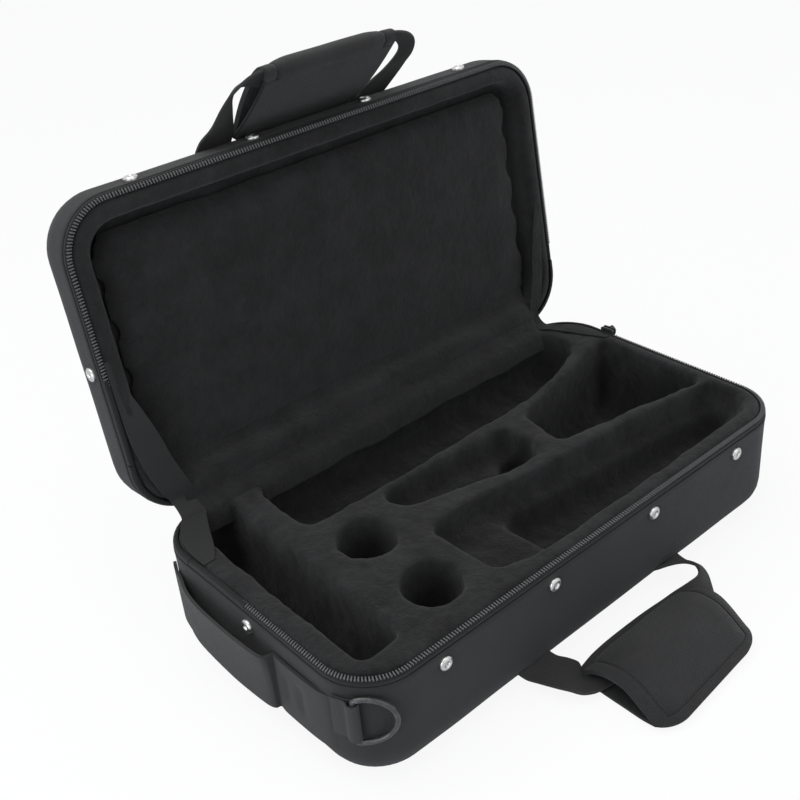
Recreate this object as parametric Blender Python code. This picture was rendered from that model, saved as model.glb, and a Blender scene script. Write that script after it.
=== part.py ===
"""Soft zip case for a clarinet: a fabric-covered shell with a moulded plush insert and two
webbing handles. Blender 4.5, metres, +Z up, +X along the length, +Y towards the hinge.
The lid stands open, as it rests when the case is in use."""

import math

import bmesh
import bpy
from mathutils import Matrix, Vector

# Driving sizes
CASE_LENGTH = 0.360
CASE_DEPTH = 0.192
BASE_HEIGHT = 0.0748
LID_HEIGHT = 0.0405
CORNER_RADIUS = 0.033
EDGE_FILLET = 0.020
LID_OPEN_ANGLE = math.radians(98.3)
GAP = 0.0003
OVERRUN = 0.004

# Walls, from the outside in
COVER_THICKNESS = 0.0015
BOARD_THICKNESS = 0.0035
BOARD_INSET = COVER_THICKNESS + GAP
FOAM_INSET = BOARD_INSET + BOARD_THICKNESS + GAP
COVER_EDGE_DROP = 0.0058
BOARD_EDGE_DROP = 0.0043
MIN_CORNER_RADIUS = 0.0005

# Foam rim, on both halves
FOAM_RIM_INSET = 0.0034
FOAM_SHOULDER_RADIUS = 0.0040
FOAM_LEDGE_RISE = 0.0003

# Zip
TAPE_INSET = 0.0005
TAPE_THICKNESS = 0.0010
COIL_RADIUS = 0.0007
COIL_INSET = TAPE_INSET + TAPE_THICKNESS / 2
COIL_DROP = 0.0015
ZIP_END_BEFORE_CORNER = 0.0069
ZIP_SIDES = 6

# Hinge and ribbons
HINGE_CLOTH_THICKNESS = 0.0010
HINGE_LEG = 0.014
LINING_LEG = 0.012
LINING_THICKNESS = 0.0010
LINING_SETBACK = 0.0015
RIBBON_THICKNESS = 0.0008
HINGE_Y = CASE_DEPTH / 2 + GAP + HINGE_CLOTH_THICKNESS / 2
HINGE_Z = BASE_HEIGHT

# Insert pockets: outlines are shares of the case's length and depth
POCKET_LIP = 0.0025
TROUGH_SHARES = ((-0.453, -0.396), (-0.372, -0.391), (-0.369, 0.313), (-0.364, 0.438), (-0.447, 0.448))
LOWER_JOINT_SHARES = ((-0.317, 0.438), (-0.317, 0.156), (-0.167, 0.146), (0.028, 0.151),
                      (0.194, 0.161), (0.306, 0.201), (0.411, 0.281), (0.411, 0.438))
MOUTHPIECE_SHARES = ((-0.183, 0.120), (-0.178, 0.010), (-0.083, -0.026), (0.000, -0.083),
                     (0.094, -0.094), (0.100, 0.094), (-0.047, 0.120))
BELL_SHARES = ((0.139, -0.094), (0.461, -0.208), (0.464, 0.245), (0.158, 0.104))
UPPER_JOINT_SHARES = ((-0.189, -0.115), (-0.183, -0.385), (-0.111, -0.427), (0.167, -0.427),
                      (0.431, -0.422), (0.469, -0.365), (0.467, -0.229), (0.306, -0.193),
                      (0.083, -0.156), (-0.083, -0.115))
UPPER_WELL_SHARES = ((-0.060, -0.170), (-0.050, -0.385), (0.420, -0.396), (0.450, -0.340),
                     (0.440, -0.260), (0.080, -0.200))
BARREL_CENTRE_SHARES = ((-0.271, -0.016), (-0.272, -0.300))
CAP_WELL_CENTRE_SHARES = (0.072, -0.016)
BARREL_BORE_RADIUS = 0.0175
CAP_WELL_RADIUS = 0.0115
# name: (outline shares, depth, radius of the floor's edge, cut at each corner)
POCKETS = {
    "trough": (TROUGH_SHARES, 0.050, 0.008, 0.008),
    "lower_joint": (LOWER_JOINT_SHARES, 0.034, 0.016, 0.012),
    "mouthpiece": (MOUTHPIECE_SHARES, 0.018, 0.009, 0.009),
    "bell": (BELL_SHARES, 0.052, 0.018, 0.007),
    "upper_joint": (UPPER_JOINT_SHARES, 0.018, 0.012, 0.009),
    "upper_well": (UPPER_WELL_SHARES, 0.034, 0.014, 0.010),
}
BARREL_DEPTH = 0.046
CAP_WELL_DEPTH = 0.034
ROUND_POCKET_FLOOR_RADIUS = 0.006
POCKET_CORNER_STEPS = 4
ROUND_POCKET_SIDES = 24

# Lid padding and its cushion
LID_PAD_INSET = 0.015
LID_RECESS_DEPTH = 0.017
LID_PAD_THICKNESS = 0.0040
LID_PAD_CROWN = 0.0025
LID_PAD_TUCK = 0.0012
PAD_RING_SHARES = (0.0, 0.05, 0.16, 0.34, 0.60, 0.90)

# Rivets
RIVET_HEAD_RADIUS = 0.0043
RIVET_HEAD_HEIGHT = 0.0022
RIVET_SHANK_RADIUS = 0.0014
RIVET_HOLE_RADIUS = RIVET_SHANK_RADIUS + GAP
RIVET_RIM_DISTANCE = 0.0140
RIVET_X_SHARES = (-0.348, -0.120, 0.120, 0.348)
RIVET_SIDES = 16
RIVET_DOME_STEPS = 4

# D rings and their tabs
RING_WIRE_RADIUS = 0.0016
RING_INNER_HEIGHT = 0.0265
RING_DEPTH = 0.0215
RING_CORNER_SHARE = 0.2
RING_HEIGHT = 0.0490
RING_CORNER_ANGLE = math.radians(215)
RING_REST_ANGLE = math.radians(15)
TAB_THICKNESS = 0.0011
TAB_HEIGHT = 0.0250
TAB_TAIL = 0.0120

# Handles: webbing loop and padded grip, in each handle's own frame (outward, up)
WEB_WIDTH = 0.0250
WEB_THICKNESS = 0.0020
BASE_HANDLE_RISE = 0.0115
LID_HANDLE_DROP = 0.0085
BASE_WEB_REACH = 0.0505
BASE_WEB_DROOP = 0.0065
BASE_HANDLE_SWAY = 0.0050
LID_WEB_REACH = 0.0628
LID_HANDLE_LEAN = math.radians(52.5)
# a leg's edges: share of its reach, then inner and outer edge as shares of the case's length
WEB_LEG_SHARES = ((0.00, 0.128, 0.198), (0.15, 0.126, 0.196), (0.30, 0.122, 0.189), (0.50, 0.120, 0.173),
                  (0.75, 0.120, 0.151), (1.00, 0.120, 0.128))
GRIP_LENGTH = 0.0980
GRIP_PLAN_RADIUS = 0.020
GRIP_WALL = 0.0024
GRIP_END_TAPER = 0.25
BASE_GRIP_NEAR = 0.0195
BASE_GRIP_FAR = 0.0750
BASE_GRIP_HEIGHT = 0.0225
LID_GRIP_NEAR = 0.0130
LID_GRIP_FAR = 0.0680
LID_GRIP_HEIGHT = 0.0160
FLOOR_CLEARANCE = 0.0004
# closed outline of the padded wrap: shares of its reach (fold to lip) and of its height
GRIP_OUTER_SHARES = ((0.06, 0.00), (0.01, 0.12), (0.00, 0.34), (0.05, 0.60), (0.17, 0.83),
                     (0.30, 0.96), (0.42, 1.00), (0.55, 0.93), (0.72, 0.66), (0.88, 0.34),
                     (0.97, 0.17), (1.00, 0.07), (0.985, 0.00))
GRIP_ROUND_STATIONS = 4

# Carrying strap on the left end
SIDE_STRAP_WIDTH = 0.0380
SIDE_STRAP_THICKNESS = 0.0020
SIDE_STRAP_LOW = 0.0200
SIDE_STRAP_BULGE = 0.0070
# (share of the case's depth, share of the bulge)
SIDE_STRAP_SHARES = ((-0.302, 0.0), (-0.260, 0.0), (-0.200, 0.0), (-0.115, 0.0), (-0.085, 0.55),
                     (-0.040, 0.95), (0.050, 1.0), (0.200, 1.0), (0.300, 0.95), (0.345, 0.55),
                     (0.385, 0.0), (0.430, 0.0))
SIDE_STRAP_STEPS = 3

# Zip sliders and pulls
SLIDER_LENGTH = 0.0110
SLIDER_HALF_HEIGHT = 0.0026
SLIDER_PLATE = 0.0010
SLIDER_POST_HALF = 0.0005
SLIDER_END_DISTANCE = 0.0062
BAIL_STAND = 0.0026
BAIL_WIRE_HALF = 0.0006
BAIL_HALF_SPAN = 0.0033
PULL_LENGTH = 0.0150
PULL_THICKNESS = 0.0012
PULL_WIDTH = 0.0048
PULL_EYE_RADIUS = 0.0019
PULL_BORE_RADIUS = 0.0012
EYE_SIDES = 16

# Facets
CORNER_STEPS = 7
FILLET_STEPS = 5
SHOULDER_STEPS = 3

# Materials: colour, roughness, metallic
FINISHES = {
    "oxford_fabric": ((0.020, 0.021, 0.023), 0.82, 0.0),
    "plush": ((0.013, 0.013, 0.014), 0.95, 0.0),
    "stiffener_board": ((0.20, 0.15, 0.10), 0.80, 0.0),
    "webbing": ((0.017, 0.017, 0.018), 0.78, 0.0),
    "zip_tape": ((0.018, 0.018, 0.019), 0.75, 0.0),
    "zip_coil": ((0.035, 0.035, 0.037), 0.38, 0.0),
    "ribbon": ((0.030, 0.031, 0.033), 0.60, 0.0),
    "nickel": ((0.80, 0.80, 0.80), 0.16, 1.0),
    "dark_metal": ((0.16, 0.16, 0.17), 0.30, 1.0),
}


def clear_scene():
    """Removes what the file opened with."""
    for thing in list(bpy.data.objects):
        bpy.data.objects.remove(thing, do_unlink=True)


def finish_material(name):
    """One Principled material for each finish."""
    material = bpy.data.materials.get(name)
    if material is None:
        colour, roughness, metallic = FINISHES[name]
        material = bpy.data.materials.new(name)
        material.use_nodes = True
        shader = material.node_tree.nodes["Principled BSDF"]
        shader.inputs["Base Color"].default_value = (*colour, 1.0)
        shader.inputs["Roughness"].default_value = roughness
        shader.inputs["Metallic"].default_value = metallic
    return material


def add_object(name, mesh, finish, parent=None, matrix=None):
    """Links a mesh as a named object with its finish."""
    thing = bpy.data.objects.new(name, mesh)
    bpy.context.collection.objects.link(thing)
    if finish:
        mesh.materials.append(finish_material(finish))
    thing.parent = parent
    if matrix is not None:
        thing.matrix_local = matrix
    return thing


def add_empty(name, parent=None, matrix=None):
    """A frame on a joint's axis."""
    frame = bpy.data.objects.new(name, None)
    bpy.context.collection.objects.link(frame)
    frame.parent = parent
    if matrix is not None:
        frame.matrix_local = matrix
    return frame


def mesh_from(bm, name, smooth_angle=math.radians(40)):
    """Closes a bmesh into a mesh with outward faces and smooth round stretches."""
    bmesh.ops.recalc_face_normals(bm, faces=bm.faces)
    mesh = bpy.data.meshes.new(name)
    bm.to_mesh(mesh)
    bm.free()
    mesh.shade_smooth()
    mesh.set_sharp_from_angle(angle=smooth_angle)
    return mesh


def loft(rings, name, closed_path=False):
    """Skins closed rings of equal counts; the two ends are capped unless the path closes."""
    bm = bmesh.new()
    rows = [[bm.verts.new(point) for point in ring] for ring in rings]
    count = len(rows[0])
    pairs = list(zip(rows, rows[1:]))
    if closed_path:
        pairs.append((rows[-1], rows[0]))
    for low, high in pairs:
        for i in range(count):
            j = (i + 1) % count
            bm.faces.new((low[i], low[j], high[j], high[i]))
    if not closed_path:
        bm.faces.new(rows[0])
        bm.faces.new(list(reversed(rows[-1])))
    return mesh_from(bm, name)


def corner_arc(cx, cy, radius, start, steps=CORNER_STEPS):
    """A quarter turn about one corner's centre, anticlockwise."""
    points = []
    for i in range(steps + 1):
        angle = start + i * math.pi / 2 / steps
        points.append((cx + radius * math.cos(angle), cy + radius * math.sin(angle)))
    return points


def case_corners(inset):
    """The four corner arcs of the case's outline, inset: rear right, rear left, front left, front right."""
    half_x = CASE_LENGTH / 2 - inset
    half_y = CASE_DEPTH / 2 - inset
    radius = max(CORNER_RADIUS - inset, MIN_CORNER_RADIUS)
    cx = half_x - radius
    cy = half_y - radius
    return [corner_arc(cx, cy, radius, 0), corner_arc(-cx, cy, radius, math.pi / 2),
            corner_arc(-cx, -cy, radius, math.pi), corner_arc(cx, -cy, radius, math.pi * 3 / 2)]


def case_ring(inset, z):
    """The whole outline at one height."""
    return [Vector((x, y, z)) for arc in case_corners(inset) for x, y in arc]


def fillet_rings(inset):
    """Rings of a shell's rounded lower edge, offset inwards by inset, from its flat floor up."""
    radius = EDGE_FILLET - inset
    rings = []
    for i in range(FILLET_STEPS + 1):
        angle = i * math.pi / 2 / FILLET_STEPS
        rings.append(case_ring(EDGE_FILLET - radius * math.sin(angle),
                               EDGE_FILLET - radius * math.cos(angle)))
    return rings


def tray_rings(outer_inset, wall, top):
    """An open tray: up its outside, over the rim and down its inside."""
    outside = fillet_rings(outer_inset) + [case_ring(outer_inset, top)]
    inside = fillet_rings(outer_inset + wall) + [case_ring(outer_inset + wall, top)]
    return outside + inside[::-1]


def foam_rings(height, rim_clearance=GAP):
    """The foam block: a fillet, a wall behind the board, a ledge over it and a rounded shoulder."""
    ledge = height - BOARD_EDGE_DROP + FOAM_LEDGE_RISE
    top = height - rim_clearance
    rings = fillet_rings(FOAM_INSET) + [case_ring(FOAM_INSET, ledge), case_ring(FOAM_RIM_INSET, ledge)]
    for i in range(SHOULDER_STEPS + 1):
        angle = i * math.pi / 2 / SHOULDER_STEPS
        inset = FOAM_RIM_INSET + FOAM_SHOULDER_RADIUS * (1 - math.cos(angle))
        rise = (top - ledge - FOAM_LEDGE_RISE) * math.sin(angle)
        rings.append(case_ring(inset, ledge + FOAM_LEDGE_RISE + rise))
    return rings


def flipped(rings, height):
    """Base-style rings turned over for the lid, whose rim is at zero."""
    return [[Vector((p.x, p.y, height - p.z)) for p in ring] for ring in rings]


def in_hinge_frame(rings):
    """Lid points, counted from the rim plane, as seen from the hinge axis."""
    shift = Vector((0, -HINGE_Y, BASE_HEIGHT - HINGE_Z))
    return [[p + shift for p in ring] for ring in rings]


def zip_end():
    """Where the zip stops on each end wall, short of the rear corner."""
    return CASE_DEPTH / 2 - CORNER_RADIUS - ZIP_END_BEFORE_CORNER


def rim_path(inset, front):
    """Open path along the rim: the zip's run round the front, or the hinge side behind it."""
    corners = case_corners(inset)
    end = zip_end()
    half_x = CASE_LENGTH / 2 - inset
    if front:
        return [(-half_x, end)] + corners[2] + corners[3] + [(half_x, end)]
    return [(half_x, end + GAP)] + corners[0] + corners[1] + [(-half_x, end + GAP)]


def band_rings(outer_inset, thickness, low, high, front):
    """Four-cornered sections of a fabric band that follows the rim."""
    outer = rim_path(outer_inset, front)
    inner = rim_path(outer_inset + thickness, front)
    return [[Vector((*o, low)), Vector((*o, high)), Vector((*i, high)), Vector((*i, low))]
            for o, i in zip(outer, inner)]


def coil_rings(z):
    """The zip coil: a small many-sided bead along the tape's edge."""
    paths = []
    heights = []
    for i in range(ZIP_SIDES):
        angle = (i + 0.5) * 2 * math.pi / ZIP_SIDES
        paths.append(rim_path(COIL_INSET - COIL_RADIUS * math.cos(angle), True))
        heights.append(z + COIL_RADIUS * math.sin(angle))
    return [[Vector((*path[k], height)) for path, height in zip(paths, heights)]
            for k in range(len(paths[0]))]


def rounded_outline(points, cut, steps=POCKET_CORNER_STEPS):
    """A closed outline whose corners are cut by smooth curves."""
    outline = []
    count = len(points)
    for i in range(count):
        here = Vector(points[i])
        before = Vector(points[i - 1]) - here
        after = Vector(points[(i + 1) % count]) - here
        reach_in = min(cut, before.length * 0.45)
        reach_out = min(cut, after.length * 0.45)
        start = here + before.normalized() * reach_in
        end = here + after.normalized() * reach_out
        for k in range(steps + 1):
            t = k / steps
            outline.append(start * (1 - t) ** 2 + here * 2 * t * (1 - t) + end * t ** 2)
    return outline


def circle_outline(centre, radius, sides=ROUND_POCKET_SIDES):
    """A round outline."""
    return [Vector((centre[0] + radius * math.cos(2 * math.pi * i / sides),
                    centre[1] + radius * math.sin(2 * math.pi * i / sides))) for i in range(sides)]


def grown(outline, amount):
    """An outline grown, or shrunk, about the middle of its box."""
    xs = [p.x for p in outline]
    ys = [p.y for p in outline]
    cx = (min(xs) + max(xs)) / 2
    cy = (min(ys) + max(ys)) / 2
    grow_x = 1 + amount / ((max(xs) - min(xs)) / 2)
    grow_y = 1 + amount / ((max(ys) - min(ys)) / 2)
    return [Vector((cx + (p.x - cx) * grow_x, cy + (p.y - cy) * grow_y)) for p in outline]


def add_cutter(name, mesh, parent=None):
    """A mesh that only cuts or joins."""
    cutter = add_object(name, mesh, None, parent)
    cutter.hide_render = True
    cutter.display_type = "WIRE"
    return cutter


def add_boolean(thing, helper, operation):
    """An exact Boolean that stays on its object."""
    modifier = thing.modifiers.new(helper.name, "BOOLEAN")
    modifier.operation = operation
    modifier.solver = "EXACT"
    modifier.object = helper


def pocket_mesh(name, outline, depth, floor_radius, top):
    """A pocket's cutter: round floor edge, straight wall and a lip that rolls over at the top."""
    rings = []
    for i in range(SHOULDER_STEPS + 1):
        angle = i * math.pi / 2 / SHOULDER_STEPS
        ring = grown(outline, -floor_radius * (1 - math.sin(angle)))
        rings.append([Vector((p.x, p.y, top - depth + floor_radius * (1 - math.cos(angle)))) for p in ring])
    for i in range(SHOULDER_STEPS + 1):
        angle = i * math.pi / 2 / SHOULDER_STEPS
        ring = grown(outline, POCKET_LIP * (1 - math.cos(angle)))
        rings.append([Vector((p.x, p.y, top - POCKET_LIP + POCKET_LIP * math.sin(angle))) for p in ring])
    rings.append([p + Vector((0, 0, OVERRUN)) for p in rings[-1]])
    return loft(rings, name)


def build_shells(lid_frame):
    """Outer covers and stiffener boards of both halves, with their rivet holes."""
    cover = tray_rings(0, COVER_THICKNESS, BASE_HEIGHT - COVER_EDGE_DROP)
    board = tray_rings(BOARD_INSET, BOARD_THICKNESS, BASE_HEIGHT - BOARD_EDGE_DROP)
    base_cover = add_object("base_cover", loft(cover, "base_cover"), "oxford_fabric")
    base_board = add_object("base_board", loft(board, "base_board"), "stiffener_board")
    cover = tray_rings(0, COVER_THICKNESS, LID_HEIGHT - COVER_EDGE_DROP)
    board = tray_rings(BOARD_INSET, BOARD_THICKNESS, LID_HEIGHT - BOARD_EDGE_DROP)
    lid_cover = add_object("lid_cover", loft(in_hinge_frame(flipped(cover, LID_HEIGHT)), "lid_cover"),
                           "oxford_fabric", lid_frame)
    lid_board = add_object("lid_board", loft(in_hinge_frame(flipped(board, LID_HEIGHT)), "lid_board"),
                           "stiffener_board", lid_frame)
    return (base_cover, base_board), (lid_cover, lid_board)


def build_insert():
    """The moulded plush insert with a pocket for each piece of the instrument."""
    insert = add_object("base_insert", loft(foam_rings(BASE_HEIGHT), "base_insert"), "plush")
    top = BASE_HEIGHT - GAP
    for name, (shares, depth, floor_radius, cut) in POCKETS.items():
        corners = [(x * CASE_LENGTH, y * CASE_DEPTH) for x, y in shares]
        outline = rounded_outline(corners, cut)
        mesh = pocket_mesh(name, outline, depth, floor_radius, top)
        add_boolean(insert, add_cutter(name + "_cutter", mesh), "DIFFERENCE")
    wells = [(share, BARREL_BORE_RADIUS, BARREL_DEPTH) for share in BARREL_CENTRE_SHARES]
    wells.append((CAP_WELL_CENTRE_SHARES, CAP_WELL_RADIUS, CAP_WELL_DEPTH))
    for i, (share, radius, depth) in enumerate(wells):
        outline = circle_outline((share[0] * CASE_LENGTH, share[1] * CASE_DEPTH), radius)
        mesh = pocket_mesh("well", outline, depth, ROUND_POCKET_FLOOR_RADIUS, top)
        add_boolean(insert, add_cutter(f"well_cutter_{i + 1}", mesh), "DIFFERENCE")


def build_lid_padding(lid_frame):
    """The lid's padded frame and the crowned cushion that lies in it."""
    padding = in_hinge_frame(flipped(foam_rings(LID_HEIGHT), LID_HEIGHT))
    frame = add_object("lid_wall_padding", loft(padding, "lid_wall_padding"), "plush", lid_frame)
    floor = GAP + LID_RECESS_DEPTH
    rings = [case_ring(LID_PAD_INSET - POCKET_LIP, GAP - OVERRUN)]
    for i in range(SHOULDER_STEPS + 1):
        angle = i * math.pi / 2 / SHOULDER_STEPS
        rings.append(case_ring(LID_PAD_INSET - POCKET_LIP * (1 - math.sin(angle)),
                               GAP + POCKET_LIP * (1 - math.cos(angle))))
    rings.append(case_ring(LID_PAD_INSET, floor))
    recess = add_cutter("lid_recess_cutter", loft(in_hinge_frame(rings), "lid_recess"), lid_frame)
    add_boolean(frame, recess, "DIFFERENCE")
    back = floor - GAP
    front = back - LID_PAD_THICKNESS
    edge = LID_PAD_INSET + GAP
    rings = [case_ring(edge + LID_PAD_TUCK, back), case_ring(edge, (back + front) / 2)]
    span = CASE_DEPTH / 2 - edge - LID_PAD_TUCK
    for share in PAD_RING_SHARES:
        rise = LID_PAD_CROWN * math.sin(min(share * 2, 1) * math.pi / 2)
        rings.append(case_ring(edge + LID_PAD_TUCK + share * span, front - rise))
    add_object("lid_pad", loft(in_hinge_frame(rings), "lid_pad"), "plush", lid_frame)


def build_zip(lid_frame):
    """Tape and coil of each half, and the fabric bands that carry on round the hinge side."""
    low = COVER_EDGE_DROP - GAP
    high = COIL_DROP + COIL_RADIUS + GAP
    parts = (("zip_tape", "zip_tape", band_rings(TAPE_INSET, TAPE_THICKNESS, high, low, True)),
             ("zip_coil", "zip_coil", coil_rings(COIL_DROP)),
             ("hinge_band", "webbing", band_rings(TAPE_INSET, TAPE_THICKNESS, high, low, False)))
    for name, finish, rings in parts:
        base = flipped(rings, BASE_HEIGHT)
        add_object("base_" + name, loft(base, "base_" + name), finish)
        add_object("lid_" + name, loft(in_hinge_frame(rings), "lid_" + name), finish, lid_frame)


def opened(y, z):
    """A point of the closed lid, in the hinge's frame, turned open and placed in the case."""
    turned = Matrix.Rotation(-LID_OPEN_ANGLE, 3, "X") @ Vector((0, y, z))
    return HINGE_Y + turned.y, HINGE_Z + turned.z


def strip_mesh(name, outer, inner, widths):
    """A folded strip: outer and inner edges of its section, and its x limits at each station."""
    rings = []
    for (oy, oz), (iy, iz), (x0, x1) in zip(outer, inner, widths):
        rings.append([Vector((x0, oy, oz)), Vector((x1, oy, oz)), Vector((x1, iy, iz)), Vector((x0, iy, iz))])
    return loft(rings, name)


def build_hinge():
    """The fabric hinge outside, the plush strip inside and the two corner ribbons."""
    half = CASE_LENGTH / 2 - CORNER_RADIUS - GAP
    wall = CASE_DEPTH / 2 + GAP
    skin = wall + HINGE_CLOTH_THICKNESS
    crook = HINGE_CLOTH_THICKNESS + GAP
    lid_wall = wall - HINGE_Y
    lid_skin = skin - HINGE_Y
    near_wall = [(wall, HINGE_Z - HINGE_LEG), (wall, HINGE_Z - crook)]
    near_skin = [(skin, HINGE_Z - HINGE_LEG), (skin, HINGE_Z - crook - HINGE_CLOTH_THICKNESS)]
    near_wall += [opened(lid_wall, crook), opened(lid_wall, HINGE_LEG)]
    near_skin += [opened(lid_skin, crook + HINGE_CLOTH_THICKNESS), opened(lid_skin, HINGE_LEG)]
    limits = [(-half, half)] * len(near_wall)
    add_object("hinge_strip", strip_mesh("hinge_strip", near_skin, near_wall, limits), "oxford_fabric")

    half -= GAP * 4
    back = CASE_DEPTH / 2 - LINING_SETBACK
    low = BASE_HEIGHT + GAP
    top = low + LINING_THICKNESS
    lid_back = -LINING_SETBACK - LINING_THICKNESS
    under = [(back - LINING_LEG, low), (back - LINING_SETBACK, low), opened(lid_back, -GAP),
             opened(lid_back - LINING_LEG, -GAP)]
    over = [(back - LINING_LEG, top), (back - LINING_SETBACK - LINING_THICKNESS, top),
            opened(lid_back - LINING_THICKNESS, -GAP - LINING_THICKNESS),
            opened(lid_back - LINING_LEG, -GAP - LINING_THICKNESS)]
    limits = [(-half, half)] * len(under)
    add_object("hinge_lining", strip_mesh("hinge_lining", under, over, limits), "plush")
    for side, name in ((-1, "stay_ribbon_left"), (1, "stay_ribbon_right")):
        build_ribbon(name, side)


# stations along each ribbon: (distance from the rim's back as a share of the case's depth,
# inner edge as a share of the case's length), on the base from its front end, then on the lid
RIBBON_BASE_SHARES = ((0.200, -0.458), (0.130, -0.441), (0.068, -0.437), (0.014, -0.425))
RIBBON_LID_SHARES = ((0.014, -0.425), (0.047, -0.417), (0.150, -0.434), (0.260, -0.453), (0.400, -0.478))
RIBBON_EDGE_INSET = 0.0036


def rim_x(distance):
    """How far the rim's outline, set in by the ribbon's edge, reaches at a distance from the back."""
    radius = CORNER_RADIUS - RIBBON_EDGE_INSET
    beyond = max(CORNER_RADIUS - distance, 0)
    return CASE_LENGTH / 2 - CORNER_RADIUS + math.sqrt(max(radius ** 2 - beyond ** 2, 0))


def build_ribbon(name, side):
    """A ribbon sewn along the rim on both halves, folded where the lid hinges."""
    under = []
    over = []
    limits = []
    for share, inner in RIBBON_BASE_SHARES:
        distance = max(share * CASE_DEPTH, RIBBON_EDGE_INSET)
        y = CASE_DEPTH / 2 - distance
        under.append((y, BASE_HEIGHT + GAP))
        over.append((y, BASE_HEIGHT + GAP + RIBBON_THICKNESS))
        limits.append((side * rim_x(distance), -side * inner * CASE_LENGTH))
    for share, inner in RIBBON_LID_SHARES:
        distance = max(share * CASE_DEPTH, RIBBON_EDGE_INSET)
        y = CASE_DEPTH / 2 - HINGE_Y - distance
        under.append(opened(y, -GAP))
        over.append(opened(y, -GAP - RIBBON_THICKNESS))
        limits.append((side * rim_x(distance), -side * inner * CASE_LENGTH))
    add_object(name, strip_mesh(name, under, over, limits), "ribbon")


def rivet_mesh():
    """A dome-headed rivet along +Z, with its shank through the cover and the board."""
    shank = COVER_THICKNESS + GAP + BOARD_THICKNESS
    profile = [(RIVET_SHANK_RADIUS, -shank), (RIVET_SHANK_RADIUS, GAP), (RIVET_HEAD_RADIUS, GAP)]
    for i in range(1, RIVET_DOME_STEPS):
        angle = i * math.pi / 2 / RIVET_DOME_STEPS
        profile.append((RIVET_HEAD_RADIUS * math.cos(angle), GAP + RIVET_HEAD_HEIGHT * math.sin(angle)))
    rings = []
    for radius, z in profile:
        rings.append([Vector((radius * math.cos(a), radius * math.sin(a), z))
                      for a in (2 * math.pi * k / RIVET_SIDES for k in range(RIVET_SIDES))])
    return loft(rings, "rivet")


def build_rivets(base_shells, lid_shells, lid_frame):
    """Four rivets along each front wall and one in each end, and the holes they sit in."""
    places = []
    for i, share in enumerate(RIVET_X_SHARES):
        spot = Vector((share * CASE_LENGTH, -CASE_DEPTH / 2, 0))
        places.append((f"rivet_front_{i + 1}", spot, Vector((0, -1, 0))))
    places.append(("rivet_left", Vector((-CASE_LENGTH / 2, 0, 0)), Vector((-1, 0, 0))))
    places.append(("rivet_right", Vector((CASE_LENGTH / 2, 0, 0)), Vector((1, 0, 0))))
    halves = (("base_", base_shells, None, Vector((0, 0, BASE_HEIGHT - RIVET_RIM_DISTANCE))),
              ("lid_", lid_shells, lid_frame, Vector((0, -HINGE_Y, RIVET_RIM_DISTANCE))))
    for prefix, shells, frame, shift in halves:
        holes = bmesh.new()
        for name, spot, normal in places:
            turn = normal.to_track_quat("Z", "Y").to_matrix().to_4x4()
            matrix = Matrix.Translation(spot + shift) @ turn
            add_object(prefix + name, rivet_mesh(), "nickel", frame, matrix)
            bmesh.ops.create_cone(holes, cap_ends=True, segments=RIVET_SIDES, radius1=RIVET_HOLE_RADIUS,
                                  radius2=RIVET_HOLE_RADIUS, depth=4 * OVERRUN, matrix=matrix)
        cutter = add_cutter(prefix + "rivet_holes", mesh_from(holes, prefix + "rivet_holes"), frame)
        for shell in shells:
            add_boolean(shell, cutter, "DIFFERENCE")


def around_corner(along, out):
    """A point beside the front left corner: along its arc, away from the ring's bar, and out from it."""
    angle = RING_CORNER_ANGLE - along / CORNER_RADIUS
    radius = CORNER_RADIUS + out
    return Vector((CORNER_RADIUS - CASE_LENGTH / 2 + radius * math.cos(angle),
                   CORNER_RADIUS - CASE_DEPTH / 2 + radius * math.sin(angle), 0))


def thick_path(points, thickness):
    """Left and right sides of a ribbon that follows a path in the plane."""
    left = []
    right = []
    for i, point in enumerate(points):
        before = points[max(i - 1, 0)]
        after = points[min(i + 1, len(points) - 1)]
        way = (after - before).normalized()
        normal = Vector((-way.y, way.x, 0)) * thickness / 2
        left.append(point + normal)
        right.append(point - normal)
    return left, right


def ribbon_on_edge(points, thickness, low, high, name):
    """A strip of webbing standing on edge along a path."""
    left, right = thick_path(points, thickness)
    up_low = Vector((0, 0, low))
    up_high = Vector((0, 0, high))
    return loft([[a + up_low, a + up_high, b + up_high, b + up_low] for a, b in zip(left, right)], name)


def ring_bar_offset():
    """Distance of the D ring's bar from the corner's face."""
    return GAP + TAB_THICKNESS + GAP + RING_WIRE_RADIUS


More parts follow.
